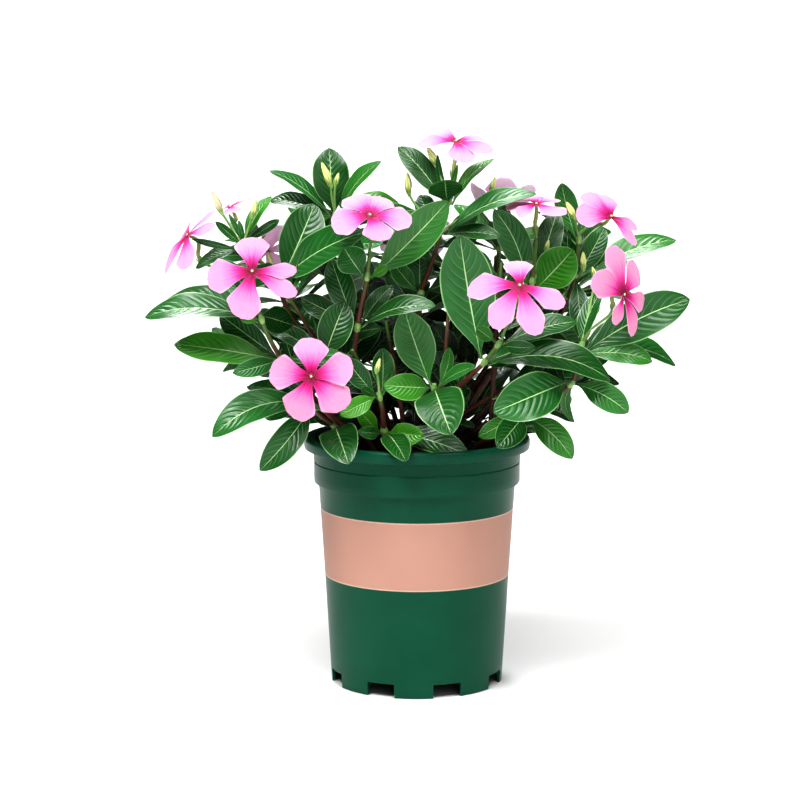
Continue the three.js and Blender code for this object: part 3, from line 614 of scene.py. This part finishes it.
# The buds: slim spindles of petals that are still rolled up, twisted like a screw, cream and
# yellow-green. Each sits in a small green calyx on a thin stalk that comes out of a whorl.
BUD_OUTLINE = [
    (0.0, 0.40), (0.12, 0.62), (0.30, 0.94), (0.45, 1.0), (0.62, 0.86), (0.80, 0.56), (0.92, 0.28),
    (1.0, 0.06),
]


def grow_calyx(bm, centre, ahead, size, look):
    """A small cup with five pointed lobes."""
    side = ahead.orthogonal().normalized()
    cup = [centre + ahead * step * size for step in (-0.002, -0.001, 0.0004, 0.001)]
    grow_tube(bm, cup, [radius * size for radius in (0.0009, 0.0014, 0.0015, 0.0012)], 10, look)
    for lobe in range(5):
        outward = Matrix.Rotation(lobe * math.tau / 5, 3, ahead) @ side
        line = [centre + (outward * reach + ahead * rise) * size for reach, rise in
                ((0.0010, 0.0), (0.0018, 0.0016), (0.0021, 0.0034), (0.0020, 0.0052))]
        grow_tube(bm, line, [radius * size for radius in (0.0006, 0.00055, 0.0004, 0.0001)], 5, look)


def grow_bud(bm, stalk, body, swell, tone):
    """A bud: its stalk from the whorl to the calyx, and its rolled petals from there to the tip."""
    path = smooth_path(stalk, 0.003)
    grow_tube(bm, path, [0.0009] * len(path), 7, LEAF_RIB, tone)
    path = smooth_path(body, 0.0008)
    last = len(path) - 1
    radii = [swell * read_outline(BUD_OUTLINE, index / last) for index in range(last + 1)]
    grow_tube(bm, path, radii, 15, BUD_SKIN, tone, (5, 0.10, 5.0))
    grow_calyx(bm, path[0], (path[1] - path[0]).normalized(), 0.9, LEAF_RIB)


def bud_skin():
    material, tree, shader = new_material("bud_skin")
    along = read_growth(tree, "along")
    across = read_growth(tree, "across")
    tone = read_growth(tree, "tone")
    grooves = calc(tree, "MULTIPLY_ADD", across, 0.5, 0.5)
    fresh = lay_over(tree, grooves, (0.520, 0.600, 0.070), (0.940, 0.940, 0.500))
    faded = lay_over(tree, grooves, (0.560, 0.440, 0.240), (0.800, 0.720, 0.520))
    skin = lay_over(tree, soft_step(tree, tone, 1.1, 1.4), fresh, faded)
    foot = calc(tree, "SUBTRACT", 1.0, soft_step(tree, along, 0.05, 0.40))
    green = lay_over(tree, foot, skin, (0.240, 0.380, 0.040))
    finish_skin(tree, shader, green, 0.45, grooves, 0.0003)
    return material


# The whorls: a few leaves, and sometimes a bud, that grow from one swollen green node of a stem.
# Each takes its places from the CAD node that it replaces: the tips, bends and widths of its leaves.
BLADE_LIMIT = 0.0015
FADED_LEFT_OF = -0.14
FADED = 1.5


def opposite_corners(ring):
    """The two corners of a ring of four that are farthest apart, and the other two."""
    pairs = [(ring[a], ring[b]) for a in range(4) for b in range(a + 1, 4)]
    edges = max(pairs, key=lambda pair: (pair[0] - pair[1]).length)
    middles = [corner for corner in ring if corner not in edges]
    return edges, middles


def read_strips(source, path=()):
    """Every pointed strip of a CAD solid: its tip and its rings of four corners from there on."""
    strips = []
    for vert in source.verts:
        if len(vert.link_edges) != 4 or sum(loop.calc_angle() for loop in vert.link_loops) > 6.0:
            continue
        if any((point - vert.co).length < 0.008 for point in path):
            continue
        rings = rings_beyond([vert], 4)
        if len(rings) > (0 if path else 1):
            strips.append((vert.co.copy(), rings))
    return strips


def width_of(ring):
    """The two widths of a ring of four, the wide one first."""
    edges, middles = opposite_corners(ring)
    return (edges[0] - edges[1]).length, (middles[0] - middles[1]).length


def is_round(ring):
    """Whether a ring goes around a bud or a stalk, and not around a blade."""
    broad, thick = width_of(ring)
    return abs(broad - thick) < 0.02 * broad


def solve_spine(tip, near, far):
    """The spine that ends at the tip and runs through two ring centres at known shares of it."""
    (a, near_ring), (b, far_ring) = near, far
    first = middle_of(opposite_corners(near_ring)[1]) - tip * a * a
    second = middle_of(opposite_corners(far_ring)[1]) - tip * b * b
    one = ((1 - a) ** 2, 2 * a * (1 - a))
    two = ((1 - b) ** 2, 2 * b * (1 - b))
    size = one[0] * two[1] - one[1] * two[0]
    start = (first * two[1] - second * one[1]) / size
    middle = (second * one[0] - first * two[0]) / size
    return start, middle, tip


def read_leaf(tip, rings, root):
    """The spine, the facing and the half-width of a CAD leaf that grows from a root."""
    first = rings[0]
    wide = (tip - middle_of(first)).length < 0.2 * (tip - root).length
    if wide and len(rings) > 1:
        spine = solve_spine(tip, (0.91, first), (0.7, rings[1]))
        half = width_of(rings[1])[0] / 2 / 0.95
    elif len(rings) > 1:
        spine = solve_spine(tip, (0.65, first), (0.3, rings[1]))
        half = width_of(first)[0] / 2 / 0.9
    else:
        share, width = (0.91, 0.48) if wide else (0.65, 0.9)
        middle = (middle_of(opposite_corners(first)[1]) - root * (1 - share) ** 2 - tip * share ** 2)
        spine = (root, middle / (2 * share * (1 - share)), tip)
        half = width_of(first)[0] / 2 / width
    edges, middles = opposite_corners(rings[min(1, len(rings) - 1)])
    between = middle_of(edges)
    middles.sort(key=lambda corner: (corner - between).length)
    return spine, (middles[0] - middles[1]).normalized(), half


def nearest_on(path, point):
    """The number of the path's point that lies nearest."""
    return min(range(len(path)), key=lambda index: (path[index] - point).length)


def grow_node(bm, path, index, tone):
    """The swollen green node of a stem that a whorl grows from."""
    centre = path[index]
    ahead = (path[min(index + 1, len(path) - 1)] - path[max(index - 1, 0)]).normalized()
    line = [centre + ahead * step * 0.0011 for step in range(-3, 4)]
    stem = stem_radius(index / (len(path) - 1))
    radii = [stem + swell for swell in (0.0001, 0.0004, 0.0007, 0.0009, 0.0007, 0.0003, 0.0001)]
    grow_tube(bm, line, radii, 10, LEAF_RIB, tone)


leaf_looks = [leaf_top(), leaf_under(), leaf_rib(), bud_skin()]
luck = random.Random(23)
blade_points = []
for name in sorted(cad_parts):
    if not name.startswith("leaves_"):
        continue
    source = merged_copy(name)
    path = stem_paths[name.removeprefix("leaves_").rsplit("_", 1)[0]]
    strips = read_strips(source, path)
    in_strips = {tuple(corner) for tip, rings in strips for ring in [[tip], *rings] for corner in ring}
    collar = middle_of([vert.co for vert in source.verts if tuple(vert.co) not in in_strips])
    source.free()
    bm = bmesh.new()
    growth_layers(bm)
    index = nearest_on(path, collar)
    grow_node(bm, path, index, 0.5)
    for tip, rings in strips:
        broad, thick = width_of(rings[0])
        if is_round(rings[0]):
            centres = [middle_of(ring) for ring in rings]
            stalk = [path[index], *reversed(centres[2:])]
            tone = FADED if tip.x < FADED_LEFT_OF else luck.random()
            grow_bud(bm, stalk, [centres[2], centres[1], centres[0], tip], broad / 2 / 0.85, tone)
            continue
        if thick > BLADE_LIMIT:
            continue
        spine, facing, half = read_leaf(tip, rings, path[index])
        length = (spine[2] - spine[0]).length
        young = max(0.0, 1.0 - length / 0.045)
        tone = min(1.0, 0.80 * luck.random() ** 1.5 + 0.70 * young)
        blade_points += grow_leaf(bm, spine, facing, half, tone, luck.uniform(0, math.tau))
    whorl = add_piece("whorl_" + name.removeprefix("leaves_"), bm, leaf_looks)
    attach(whorl, "root")
    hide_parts(name)


# The flowers: five flat petals, each with a narrow claw and a broad, blunt tip, joined at the
# mouth of a slim tube. They are pink with a dark red eye around a tiny yellow throat, and sit in
# a small green calyx with five pointed lobes.
PETAL_OUTLINE = [
    (0.0, 0.20), (0.12, 0.26), (0.25, 0.36), (0.4, 0.55), (0.6, 0.84), (0.78, 1.0), (0.9, 0.98),
    (1.0, 0.84),
]
PETAL_THICKNESS = 0.00028
TUBE_LENGTH = 0.024
BROADER_PETALS = {"flower_far_right": 1.15}
PETAL_TOP, PETAL_UNDER, THROAT, FLOWER_TUBE, CALYX, STAMENS = range(6)


def grow_petal(bm, spine, facing, half, tone, luck):
    """A petal, a little lopsided at its tip, and its edges waved."""
    skew = luck.uniform(0.03, 0.08)
    wave = luck.uniform(0, math.tau)
    lean = luck.uniform(0.04, 0.12)
    curl = luck.uniform(-0.02, 0.06)

    def place(across, along):
        edge = abs(across)
        point = 0.02 * math.exp(-((across / 0.13) ** 2))
        blunt = 1 - 0.03 * edge ** 2 - 0.17 * edge ** 4.5 - skew * across + point
        share = along * (1 - (1 - blunt) * along ** 2.2)
        width = half * read_outline(PETAL_OUTLINE, min(1.0, along))
        lift = lean * across * width + 0.05 * width * edge ** 2 * math.sin(wave + 7 * along + 1.5 * across)
        return share, across * width, lift + curl * width * edge ** 2

    return grow_blade(bm, spine, facing, 14, 20, place, PETAL_THICKNESS, (PETAL_TOP, PETAL_UNDER), tone)


def petal_look(name, top):
    """The pink of a petal: deep red at the claw, magenta streaks, then a clear pink blade."""
    material, tree, shader = new_material(name)
    across = read_growth(tree, "across")
    along = read_growth(tree, "along")
    tone = read_growth(tree, "tone")
    spread = tree.nodes.new("ShaderNodeCombineXYZ")
    tree.links.new(calc(tree, "MULTIPLY", across, 7.0), spread.inputs["X"])
    tree.links.new(calc(tree, "MULTIPLY", along, 0.9), spread.inputs["Y"])
    tree.links.new(calc(tree, "MULTIPLY", tone, 40.0), spread.inputs["Z"])
    streak = clouds(tree, spread.outputs[0], 1.6, 3.0)
    reach = calc(tree, "MULTIPLY_ADD", calc(tree, "SUBTRACT", 0.5, streak), 0.34, along)
    star = calc(tree, "MULTIPLY_ADD", calc(tree, "ABSOLUTE", across), 0.035, reach)
    ramp = tree.nodes.new("ShaderNodeValToRGB")
    tree.links.new(star, ramp.inputs["Fac"])
    stops = [
        (0.0, (0.10, 0.0, 0.010)), (0.15, (0.28, 0.0, 0.035)), (0.24, (0.50, 0.0, 0.13)),
        (0.34, (0.70, 0.040, 0.29)), (0.48, (0.80, 0.18, 0.42)), (0.70, (0.84, 0.30, 0.48)),
        (1.0, (0.84, 0.33, 0.51)),
    ]
    # The underside: a paler pink, partly its own colour and partly painted light that stands in for light
    # shining through the thin petal.
    if not top:
        stops = [(0.0, (0.92, 0.46, 0.70)), (0.25, (0.97, 0.52, 0.76)), (1.0, (0.98, 0.60, 0.84))]
    for index, (at, colour) in enumerate(stops):
        stop = ramp.color_ramp.elements[index] if index < 2 else ramp.color_ramp.elements.new(at)
        stop.position = at
        stop.color = (*colour, 1.0)
    veined = soft_step(tree, clouds(tree, spread.outputs[0], 4.5, 1.0), 0.35, 0.75)
    fade = soft_step(tree, along, 0.15, 0.9)
    share = calc(tree, "MULTIPLY", calc(tree, "SUBTRACT", 0.30, calc(tree, "MULTIPLY", fade, 0.20)), veined)
    pink = lay_over(tree, share, ramp.outputs[0], (0.80, 0.12, 0.52))
    rim = calc(tree, "MULTIPLY", soft_step(tree, calc(tree, "ABSOLUTE", across), 0.80, 1.0), fade)
    pink = lay_over(tree, calc(tree, "MULTIPLY", rim, 0.45), pink, (0.95, 0.62, 0.86))
    shader.inputs["Subsurface Weight"].default_value = 0.5
    shader.inputs["Subsurface Radius"].default_value = (1.0, 1.0, 1.0)
    shader.inputs["Subsurface Scale"].default_value = 0.0008
    shader.inputs["Specular IOR Level"].default_value = 0.15
    finish_skin(tree, shader, pink, 0.6, streak, 0.0005)
    return material


def flower_look(name, low, high, roughness):
    """The plain waxy skin of the small parts of a flower, clouded between two tones."""
    material, tree, shader = new_material(name)
    drift = clouds(tree, object_place(tree), 260.0, 3.0)
    finish_skin(tree, shader, lay_over(tree, drift, low, high), roughness, drift, 0.0002)
    return material


def grow_throat(bm, centre, facing):
    """The mouth of the flower's tube: a small dark funnel with a yellow dot in it."""
    line = [centre + facing * step for step in (-0.0022, -0.0006, 0.0003, 0.0007)]
    grow_tube(bm, line, [0.0008, 0.0012, 0.0021, 0.0014], 15, THROAT, 0.5, (5, 0.12, 0.0))
    dot = [centre + facing * step for step in (0.0004, 0.0008, 0.0012, 0.0014)]
    grow_tube(bm, dot, [0.0009, 0.0009, 0.0006, 0.0002], 8, STAMENS)


flower_looks = [
    petal_look("petal_top", True),
    petal_look("petal_underside", False),
    flower_look("flower_throat", (0.10, 0.0, 0.012), (0.25, 0.0, 0.03), 0.5),
    flower_look("flower_tube", (0.22, 0.30, 0.06), (0.36, 0.38, 0.13), 0.5),
    flower_look("calyx", (0.10, 0.22, 0.05), (0.19, 0.34, 0.09), 0.5),
    flower_look("stamens", (0.85, 0.60, 0.16), (0.92, 0.78, 0.36), 0.6),
]
luck = random.Random(31)
for name in sorted(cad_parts):
    if not name.startswith("flower_"):
        continue
    source = merged_copy(name)
    petals = []
    stalk = []
    for tip, rings in read_strips(source):
        if is_round(rings[0]):
            stalk = [tip, *[middle_of(ring) for ring in rings]]
        else:
            spine = solve_spine(tip, (0.95, rings[0]), (0.78, rings[1]))
            petals.append((spine, width_of(rings[1])[0] / 2))
    source.free()
    centre = middle_of([spine[0] for spine, half in petals])
    facing = sum((spine[1] - (spine[0] + spine[2]) / 2 for spine, half in petals), Vector()).normalized()
    bm = bmesh.new()
    growth_layers(bm)
    behind = [point for point in stalk if (point - centre).length > 0.005]
    if facing.dot(centre - min(behind, key=lambda point: (point - centre).length)) < 0:
        facing = -facing
    for spine, half in petals:
        half *= BROADER_PETALS.get(name, 1.0)
        start = centre + (spine[0] - centre) * 0.6
        blade_points += grow_petal(bm, (start, spine[1], spine[2]), facing, half, luck.random(), luck)
    grow_throat(bm, centre, facing)
    line = [point for point in stalk if (point - centre).length > 0.004]
    line = [point for point in line if (point - centre).dot(facing) < 0.001]
    path = smooth_path([*line, centre - facing * 0.0015], 0.002)
    path.reverse()
    total = sum((b - a).length for a, b in zip(path, path[1:]))
    tube_steps = max(3, round((len(path) - 1) * min(TUBE_LENGTH, total * 0.8) / total))
    tube = path[:tube_steps + 1]
    swells = [math.sin(math.pi * step / tube_steps) for step in range(tube_steps + 1)]
    grow_tube(bm, tube, [0.0011 + 0.0004 * swell for swell in swells], 10, FLOWER_TUBE)
    stem_end = path[tube_steps:]
    if len(stem_end) > 1:
        grow_tube(bm, stem_end, [0.0010] * len(stem_end), 8, CALYX)
    grow_calyx(bm, tube[-1], (tube[-2] - tube[-1]).normalized(), 1.0, CALYX)
    flower = add_piece("bloom_" + name.removeprefix("flower_"), bm, flower_looks)
    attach(flower, "root")
    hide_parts(name)


# The inner and far growth: more shoots and leaves of the same kind, deep in the bush and on its far side.
# They rise from the soil between the others, and their leaves are older and darker; those deep in the bush
# are also laid over with painted shade, and a few of the others with a little of it.
VIEWPOINT = Vector((0.0, -1.769, 0.466))
CELL = 0.005
LEAF_ROOM = 0.0030
STEM_ROOM = 0.0045
STEMS_SHOW_FROM = 0.235
BUSH_TOP = 0.300
GAP_COLUMNS = range(-23, 21)
GAP_ROWS = range(37, 60)
DENSE_COLUMNS = range(12, 22)
DENSE_ROWS = range(60, 67)
DENSE_TOP = 0.336
GAP_PASSES = ((-0.03, 0.06, 0.042, 0.026), (0.04, 0.11, 0.055, 0.026), (-0.06, 0.10, 0.040, 0.016))
INNER_SHOOTS = [
    (-20, 168, 44, 250), (20, 96, 52, 236), (60, 60, 66, 300), (100, 92, 60, 330), (140, 96, 40, 246),
    (178, 104, 50, 232), (214, 76, 58, 270), (250, 100, 48, 250), (300, 56, 40, 290),
    (340, 64, 56, 310), (80, 104, 30, 222), (118, 108, 34, 262), (155, 70, 44, 318),
    (198, 106, 42, 296), (36, 112, 38, 268),
]


def cell_of(point, size):
    return tuple(math.floor(value / size) for value in point)


def seen_from_front(point):
    """Where a point shows in the upright plane through the pot, and how deep it lies."""
    reach = -VIEWPOINT.y / (point.y - VIEWPOINT.y)
    return (point.x * reach, VIEWPOINT.z + (point.z - VIEWPOINT.z) * reach), point.y


def behind_cell(x, z, depth):
    """The point at a depth that shows in the middle of a cell."""
    place = Vector(((x + 0.5) * CELL, 0.0, (z + 0.5) * CELL))
    return VIEWPOINT + (place - VIEWPOINT) * (depth - VIEWPOINT.y) / -VIEWPOINT.y


class Bush:
    """The room that leaves, petals and stems take up, and what shows in front."""

    def __init__(self):
        self.crowd = {}
        self.front = {}

    def take(self, points, shows=True):
        for point in points:
            self.crowd.setdefault(cell_of(point, CELL), []).append(point)
            if shows:
                place, depth = seen_from_front(point)
                key = cell_of(place, CELL)
                self.front[key] = min(depth, self.front.get(key, 9.0))

    def is_free(self, point, room):
        """Whether nothing lies within some room of a point."""
        x, y, z = cell_of(point, CELL)
        for dx, dy, dz in product((-1, 0, 1), repeat=3):
            for other in self.crowd.get((x + dx, y + dy, z + dz), ()):
                if (other - point).length < room:
                    return False
        return True

    def is_gap(self, x, z):
        """A see-through cell low in the bush, with leaves on every side of it."""
        if (x, z) in self.front:
            return False
        ways = ((-1, 0), (1, 0), (0, 1), (-1, 1), (1, 1))
        return all(any((x + dx * k, z + dz * k) in self.front for k in range(1, 7)) for dx, dz in ways)

    def is_hidden(self, point):
        """Behind something that shows, or in a gap."""
        place, depth = seen_from_front(point)
        x, z = cell_of(place, CELL)
        if (x, z) in self.front:
            return depth > self.front[(x, z)] + 0.004
        top = DENSE_TOP if x in DENSE_COLUMNS else BUSH_TOP
        nearest = -0.072 if place[1] < STEMS_SHOW_FROM else -0.045
        if not (-24 < x < 22 and 0.186 < place[1] < top) or depth < nearest:
            return False
        return self.is_gap(x, z)


def leaf_spots(spine, facing, half):
    """Points spread over a leaf that isn't grown yet."""
    spots = []
    for share in (0.2, 0.32, 0.44, 0.56, 0.68, 0.8, 0.9, 1.0):
        ahead = spine_direction(spine, share)
        side = ahead.cross(facing).normalized()
        width = half * read_outline(LEAF_OUTLINE, share)
        for across in (-1.0, -0.5, 0.0, 0.5, 1.0):
            spots.append(spine_point(spine, share) + side * width * across)
    return spots


def try_leaf(bm, bush, root, outward, length, towards, luck):
    """A leaf from a root on a stem, with its face turned towards something, if there is room."""
    tip = root + outward * length
    start = root + outward * 0.002
    facing = (towards - outward * towards.dot(outward)).normalized()
    middle = (start + tip) / 2 + facing * length * luck.uniform(0.06, 0.2)
    spine = (start, middle, tip)
    half = length * luck.uniform(0.15, 0.20)
    low, high = cad_box
    for spot in leaf_spots(spine, facing, half):
        inside = all(low[axis] - 0.001 < spot[axis] < high[axis] + 0.001 for axis in range(3))
        level = 0.1705 if math.hypot(spot.x, spot.y) < 0.070 else 0.186
        if not inside or spot.z < level or not bush.is_hidden(spot) or not bush.is_free(spot, LEAF_ROOM):
            return False
    # Leaves deep in the bush get a tone below zero, which paints shade on them; a few of the others get a
    # little of it.
    deep = math.hypot(tip.x, tip.y) < 0.085 and tip.z < BUSH_TOP + 0.02
    tone = luck.uniform(-0.6, 0.0) if deep else luck.uniform(-0.15, 0.6)
    bush.take(grow_leaf(bm, spine, facing, half, tone, luck.uniform(0, math.tau), 8, 14))
    return True


luck = random.Random(5)
bush = Bush()
bush.take(blade_points)
for path in stem_paths.values():
    bush.take([point for point in path if point.z > STEMS_SHOW_FROM])
    bush.take([point for point in path if point.z <= STEMS_SHOW_FROM], shows=False)
inner_paths = []
for number, (turn, reach, foot, height) in enumerate(INNER_SHOOTS):
    angle = math.radians(turn)
    away = Vector((math.cos(angle), math.sin(angle), 0))
    for attempt in range(20):
        wobble = Vector((luck.uniform(-1, 1), luck.uniform(-1, 1), 0)) * 0.0015 * attempt
        start = away * (foot * (1 - 0.03 * attempt)) / 1000 + wobble
        start.z = SOIL_TOP + 0.0004
        tip = away * reach / 1000 + 2 * wobble
        tip.z = height / 1000
        bend = start.lerp(tip, 0.45) + Vector((0, 0, 0.1 * (tip.z - start.z)))
        path = smooth_path([start, start + Vector((0, 0, 0.006)), bend, tip], 0.004)
        if all(bush.is_free(point, STEM_ROOM) for point in path):
            break
    else:
        continue
    bush.take(path, shows=False)
    inner_paths.append(path)
    bm = bmesh.new()
    last = len(path) - 1
    grow_tube(bm, path, [0.0023 - 0.0012 * index / last for index in range(last + 1)], 10, 0)
    stem = add_piece(f"inner_shoot_{number}", bm, [bark_material])
    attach(stem, "root")

growing_paths = [*inner_paths, *stem_paths.values()]
growths = [bmesh.new() for path in growing_paths]
for bm in growths:
    growth_layers(bm)
roots = [(number, point) for number, path in enumerate(growing_paths) for point in path[2:]]
root_tree = KDTree(len(roots))
for index, (number, point) in enumerate(roots):
    root_tree.insert(point, index)
root_tree.balance()
gaps = [(x, z) for x in GAP_COLUMNS for z in GAP_ROWS if bush.is_gap(x, z)]
gaps += [(x, z) for x in DENSE_COLUMNS for z in DENSE_ROWS if bush.is_gap(x, z)]
luck.shuffle(gaps)
for front, back, span, least in GAP_PASSES:
    for x, z in gaps:
        nearest = -0.07 if front < 0 and z < 47 else front
        for attempt in range(36):
            if (x, z) in bush.front:
                break
            target = behind_cell(x, z, luck.uniform(nearest, back))
            near = [found for found in root_tree.find_range(target, span) if found[2] > 0.012]
            if not near:
                continue
            point, index, distance = luck.choice(near)
            outward = (target - point).normalized()
            if outward.z < -0.35:
                continue
            length = min(0.066, max(least, distance * luck.uniform(1.3, 1.9)))
            aside = Vector((luck.uniform(-0.5, 0.5), 0.0, luck.uniform(0.0, 0.8)))
            towards = (VIEWPOINT - target).normalized() + aside
            try_leaf(growths[roots[index][0]], bush, point, outward, length, towards, luck)
for number, path in enumerate(growing_paths):
    turn = luck.uniform(0, math.tau)
    for index in range(len(path) - 1, 2, -2):
        count = 7 if index == len(path) - 1 and number < len(inner_paths) else 4
        for leaf in range(count):
            turn += 2.4
            for attempt in range(8):
                rise = math.radians(luck.uniform(-5, 65))
                swing = turn + luck.uniform(-0.5, 0.5)
                level = Vector((math.cos(swing), math.sin(swing), 0.0))
                outward = level * math.cos(rise) + Vector((0, 0, math.sin(rise)))
                root = path[index]
                rim = Vector((root.x, root.y - 0.03, 0)).normalized()
                towards = Vector((0, 0, luck.uniform(0.15, 1.0))) + rim * luck.uniform(0.2, 1.2)
                if try_leaf(growths[number], bush, root, outward, luck.uniform(0.03, 0.066), towards, luck):
                    break
for number, bm in enumerate(growths):
    if not bm.verts:
        bm.free()
        continue
    growth = add_piece(f"inner_leaves_{number}", bm, leaf_looks)
    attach(growth, "root")


# The setting: a pale floor, soft studio light from above and a camera where the photograph was
# taken from.
def add_lamp(name, kind, power, place, towards):
    """A lamp at a place that shines in a direction."""
    light = bpy.data.lights.new(name, kind)
    light.energy = power
    lamp = bpy.data.objects.new(name, light)
    lamp.location = place
    lamp.rotation_euler = Vector(towards).to_track_quat("-Z", "Y").to_euler()
    bpy.context.scene.collection.objects.link(lamp)
    return light


bm = bmesh.new()
bmesh.ops.create_grid(bm, x_segments=8, y_segments=8, size=14.0)
bmesh.ops.translate(bm, verts=bm.verts, vec=(0, 0, -0.0002))
paper, tree, shader = new_material("pale_paper")
grain = clouds(tree, object_place(tree), 400.0)
tree.links.new(lay_over(tree, grain, (0.60, 0.60, 0.60), (0.62, 0.62, 0.62)), shader.inputs["Base Color"])
shader.inputs["Roughness"].default_value = 0.9
shader.inputs["Specular IOR Level"].default_value = 0.0
floor = add_piece("studio_floor", bm, [paper])

world = bpy.data.worlds.new("studio")
world.use_nodes = True
tree = world.node_tree
sky = tree.nodes["Background"]
sky.inputs["Color"].default_value = (1.0, 1.0, 1.0, 1.0)
axes = tree.nodes.new("ShaderNodeSeparateXYZ")
tree.links.new(tree.nodes.new("ShaderNodeTexCoord").outputs["Generated"], axes.inputs[0])
overhead = calc(tree, "MULTIPLY_ADD", soft_step(tree, axes.outputs["Z"], 0.05, 0.95), 0.13, 0.01)
to_camera = tree.nodes.new("ShaderNodeLightPath").outputs["Is Camera Ray"]
tree.links.new(calc(tree, "MAXIMUM", overhead, to_camera), sky.inputs["Strength"])
bpy.context.scene.world = world
soft_box = add_lamp("soft_box", "AREA", 1.6, (0.5, -1.8, 0.9), (-0.5, 1.8, -0.7))
soft_box.size = 0.9
for name, towards, energy, spread in (
    ("left_light", (0.35, 0.50, -1.0), 3.4, 28),
    ("right_light", (-0.30, 0.45, -1.0), 2.0, 30),
    ("front_light", (-0.3, 0.9, -0.4), 0.3, 40),
    ("rim_light", (0.2, -0.6, -0.9), 2.4, 22),
):
    sun = add_lamp(name, "SUN", energy, (0, 0, 0), towards)
    sun.angle = math.radians(spread)
bpy.context.scene.view_settings.view_transform = "Standard"
bpy.context.scene.view_settings.look = "Medium High Contrast"

lens = bpy.data.cameras.new("camera")
lens.sensor_width = 36.0
lens.lens = 110.316
lens.clip_start = 0.05
lens.clip_end = 60.0
camera = bpy.data.objects.new("camera", lens)
camera.location = (0.0, -1.76887, 0.46586)
camera.rotation_euler = (math.radians(90 - 8.318), 0.0, 0.007)
bpy.context.scene.collection.objects.link(camera)
bpy.context.scene.camera = camera
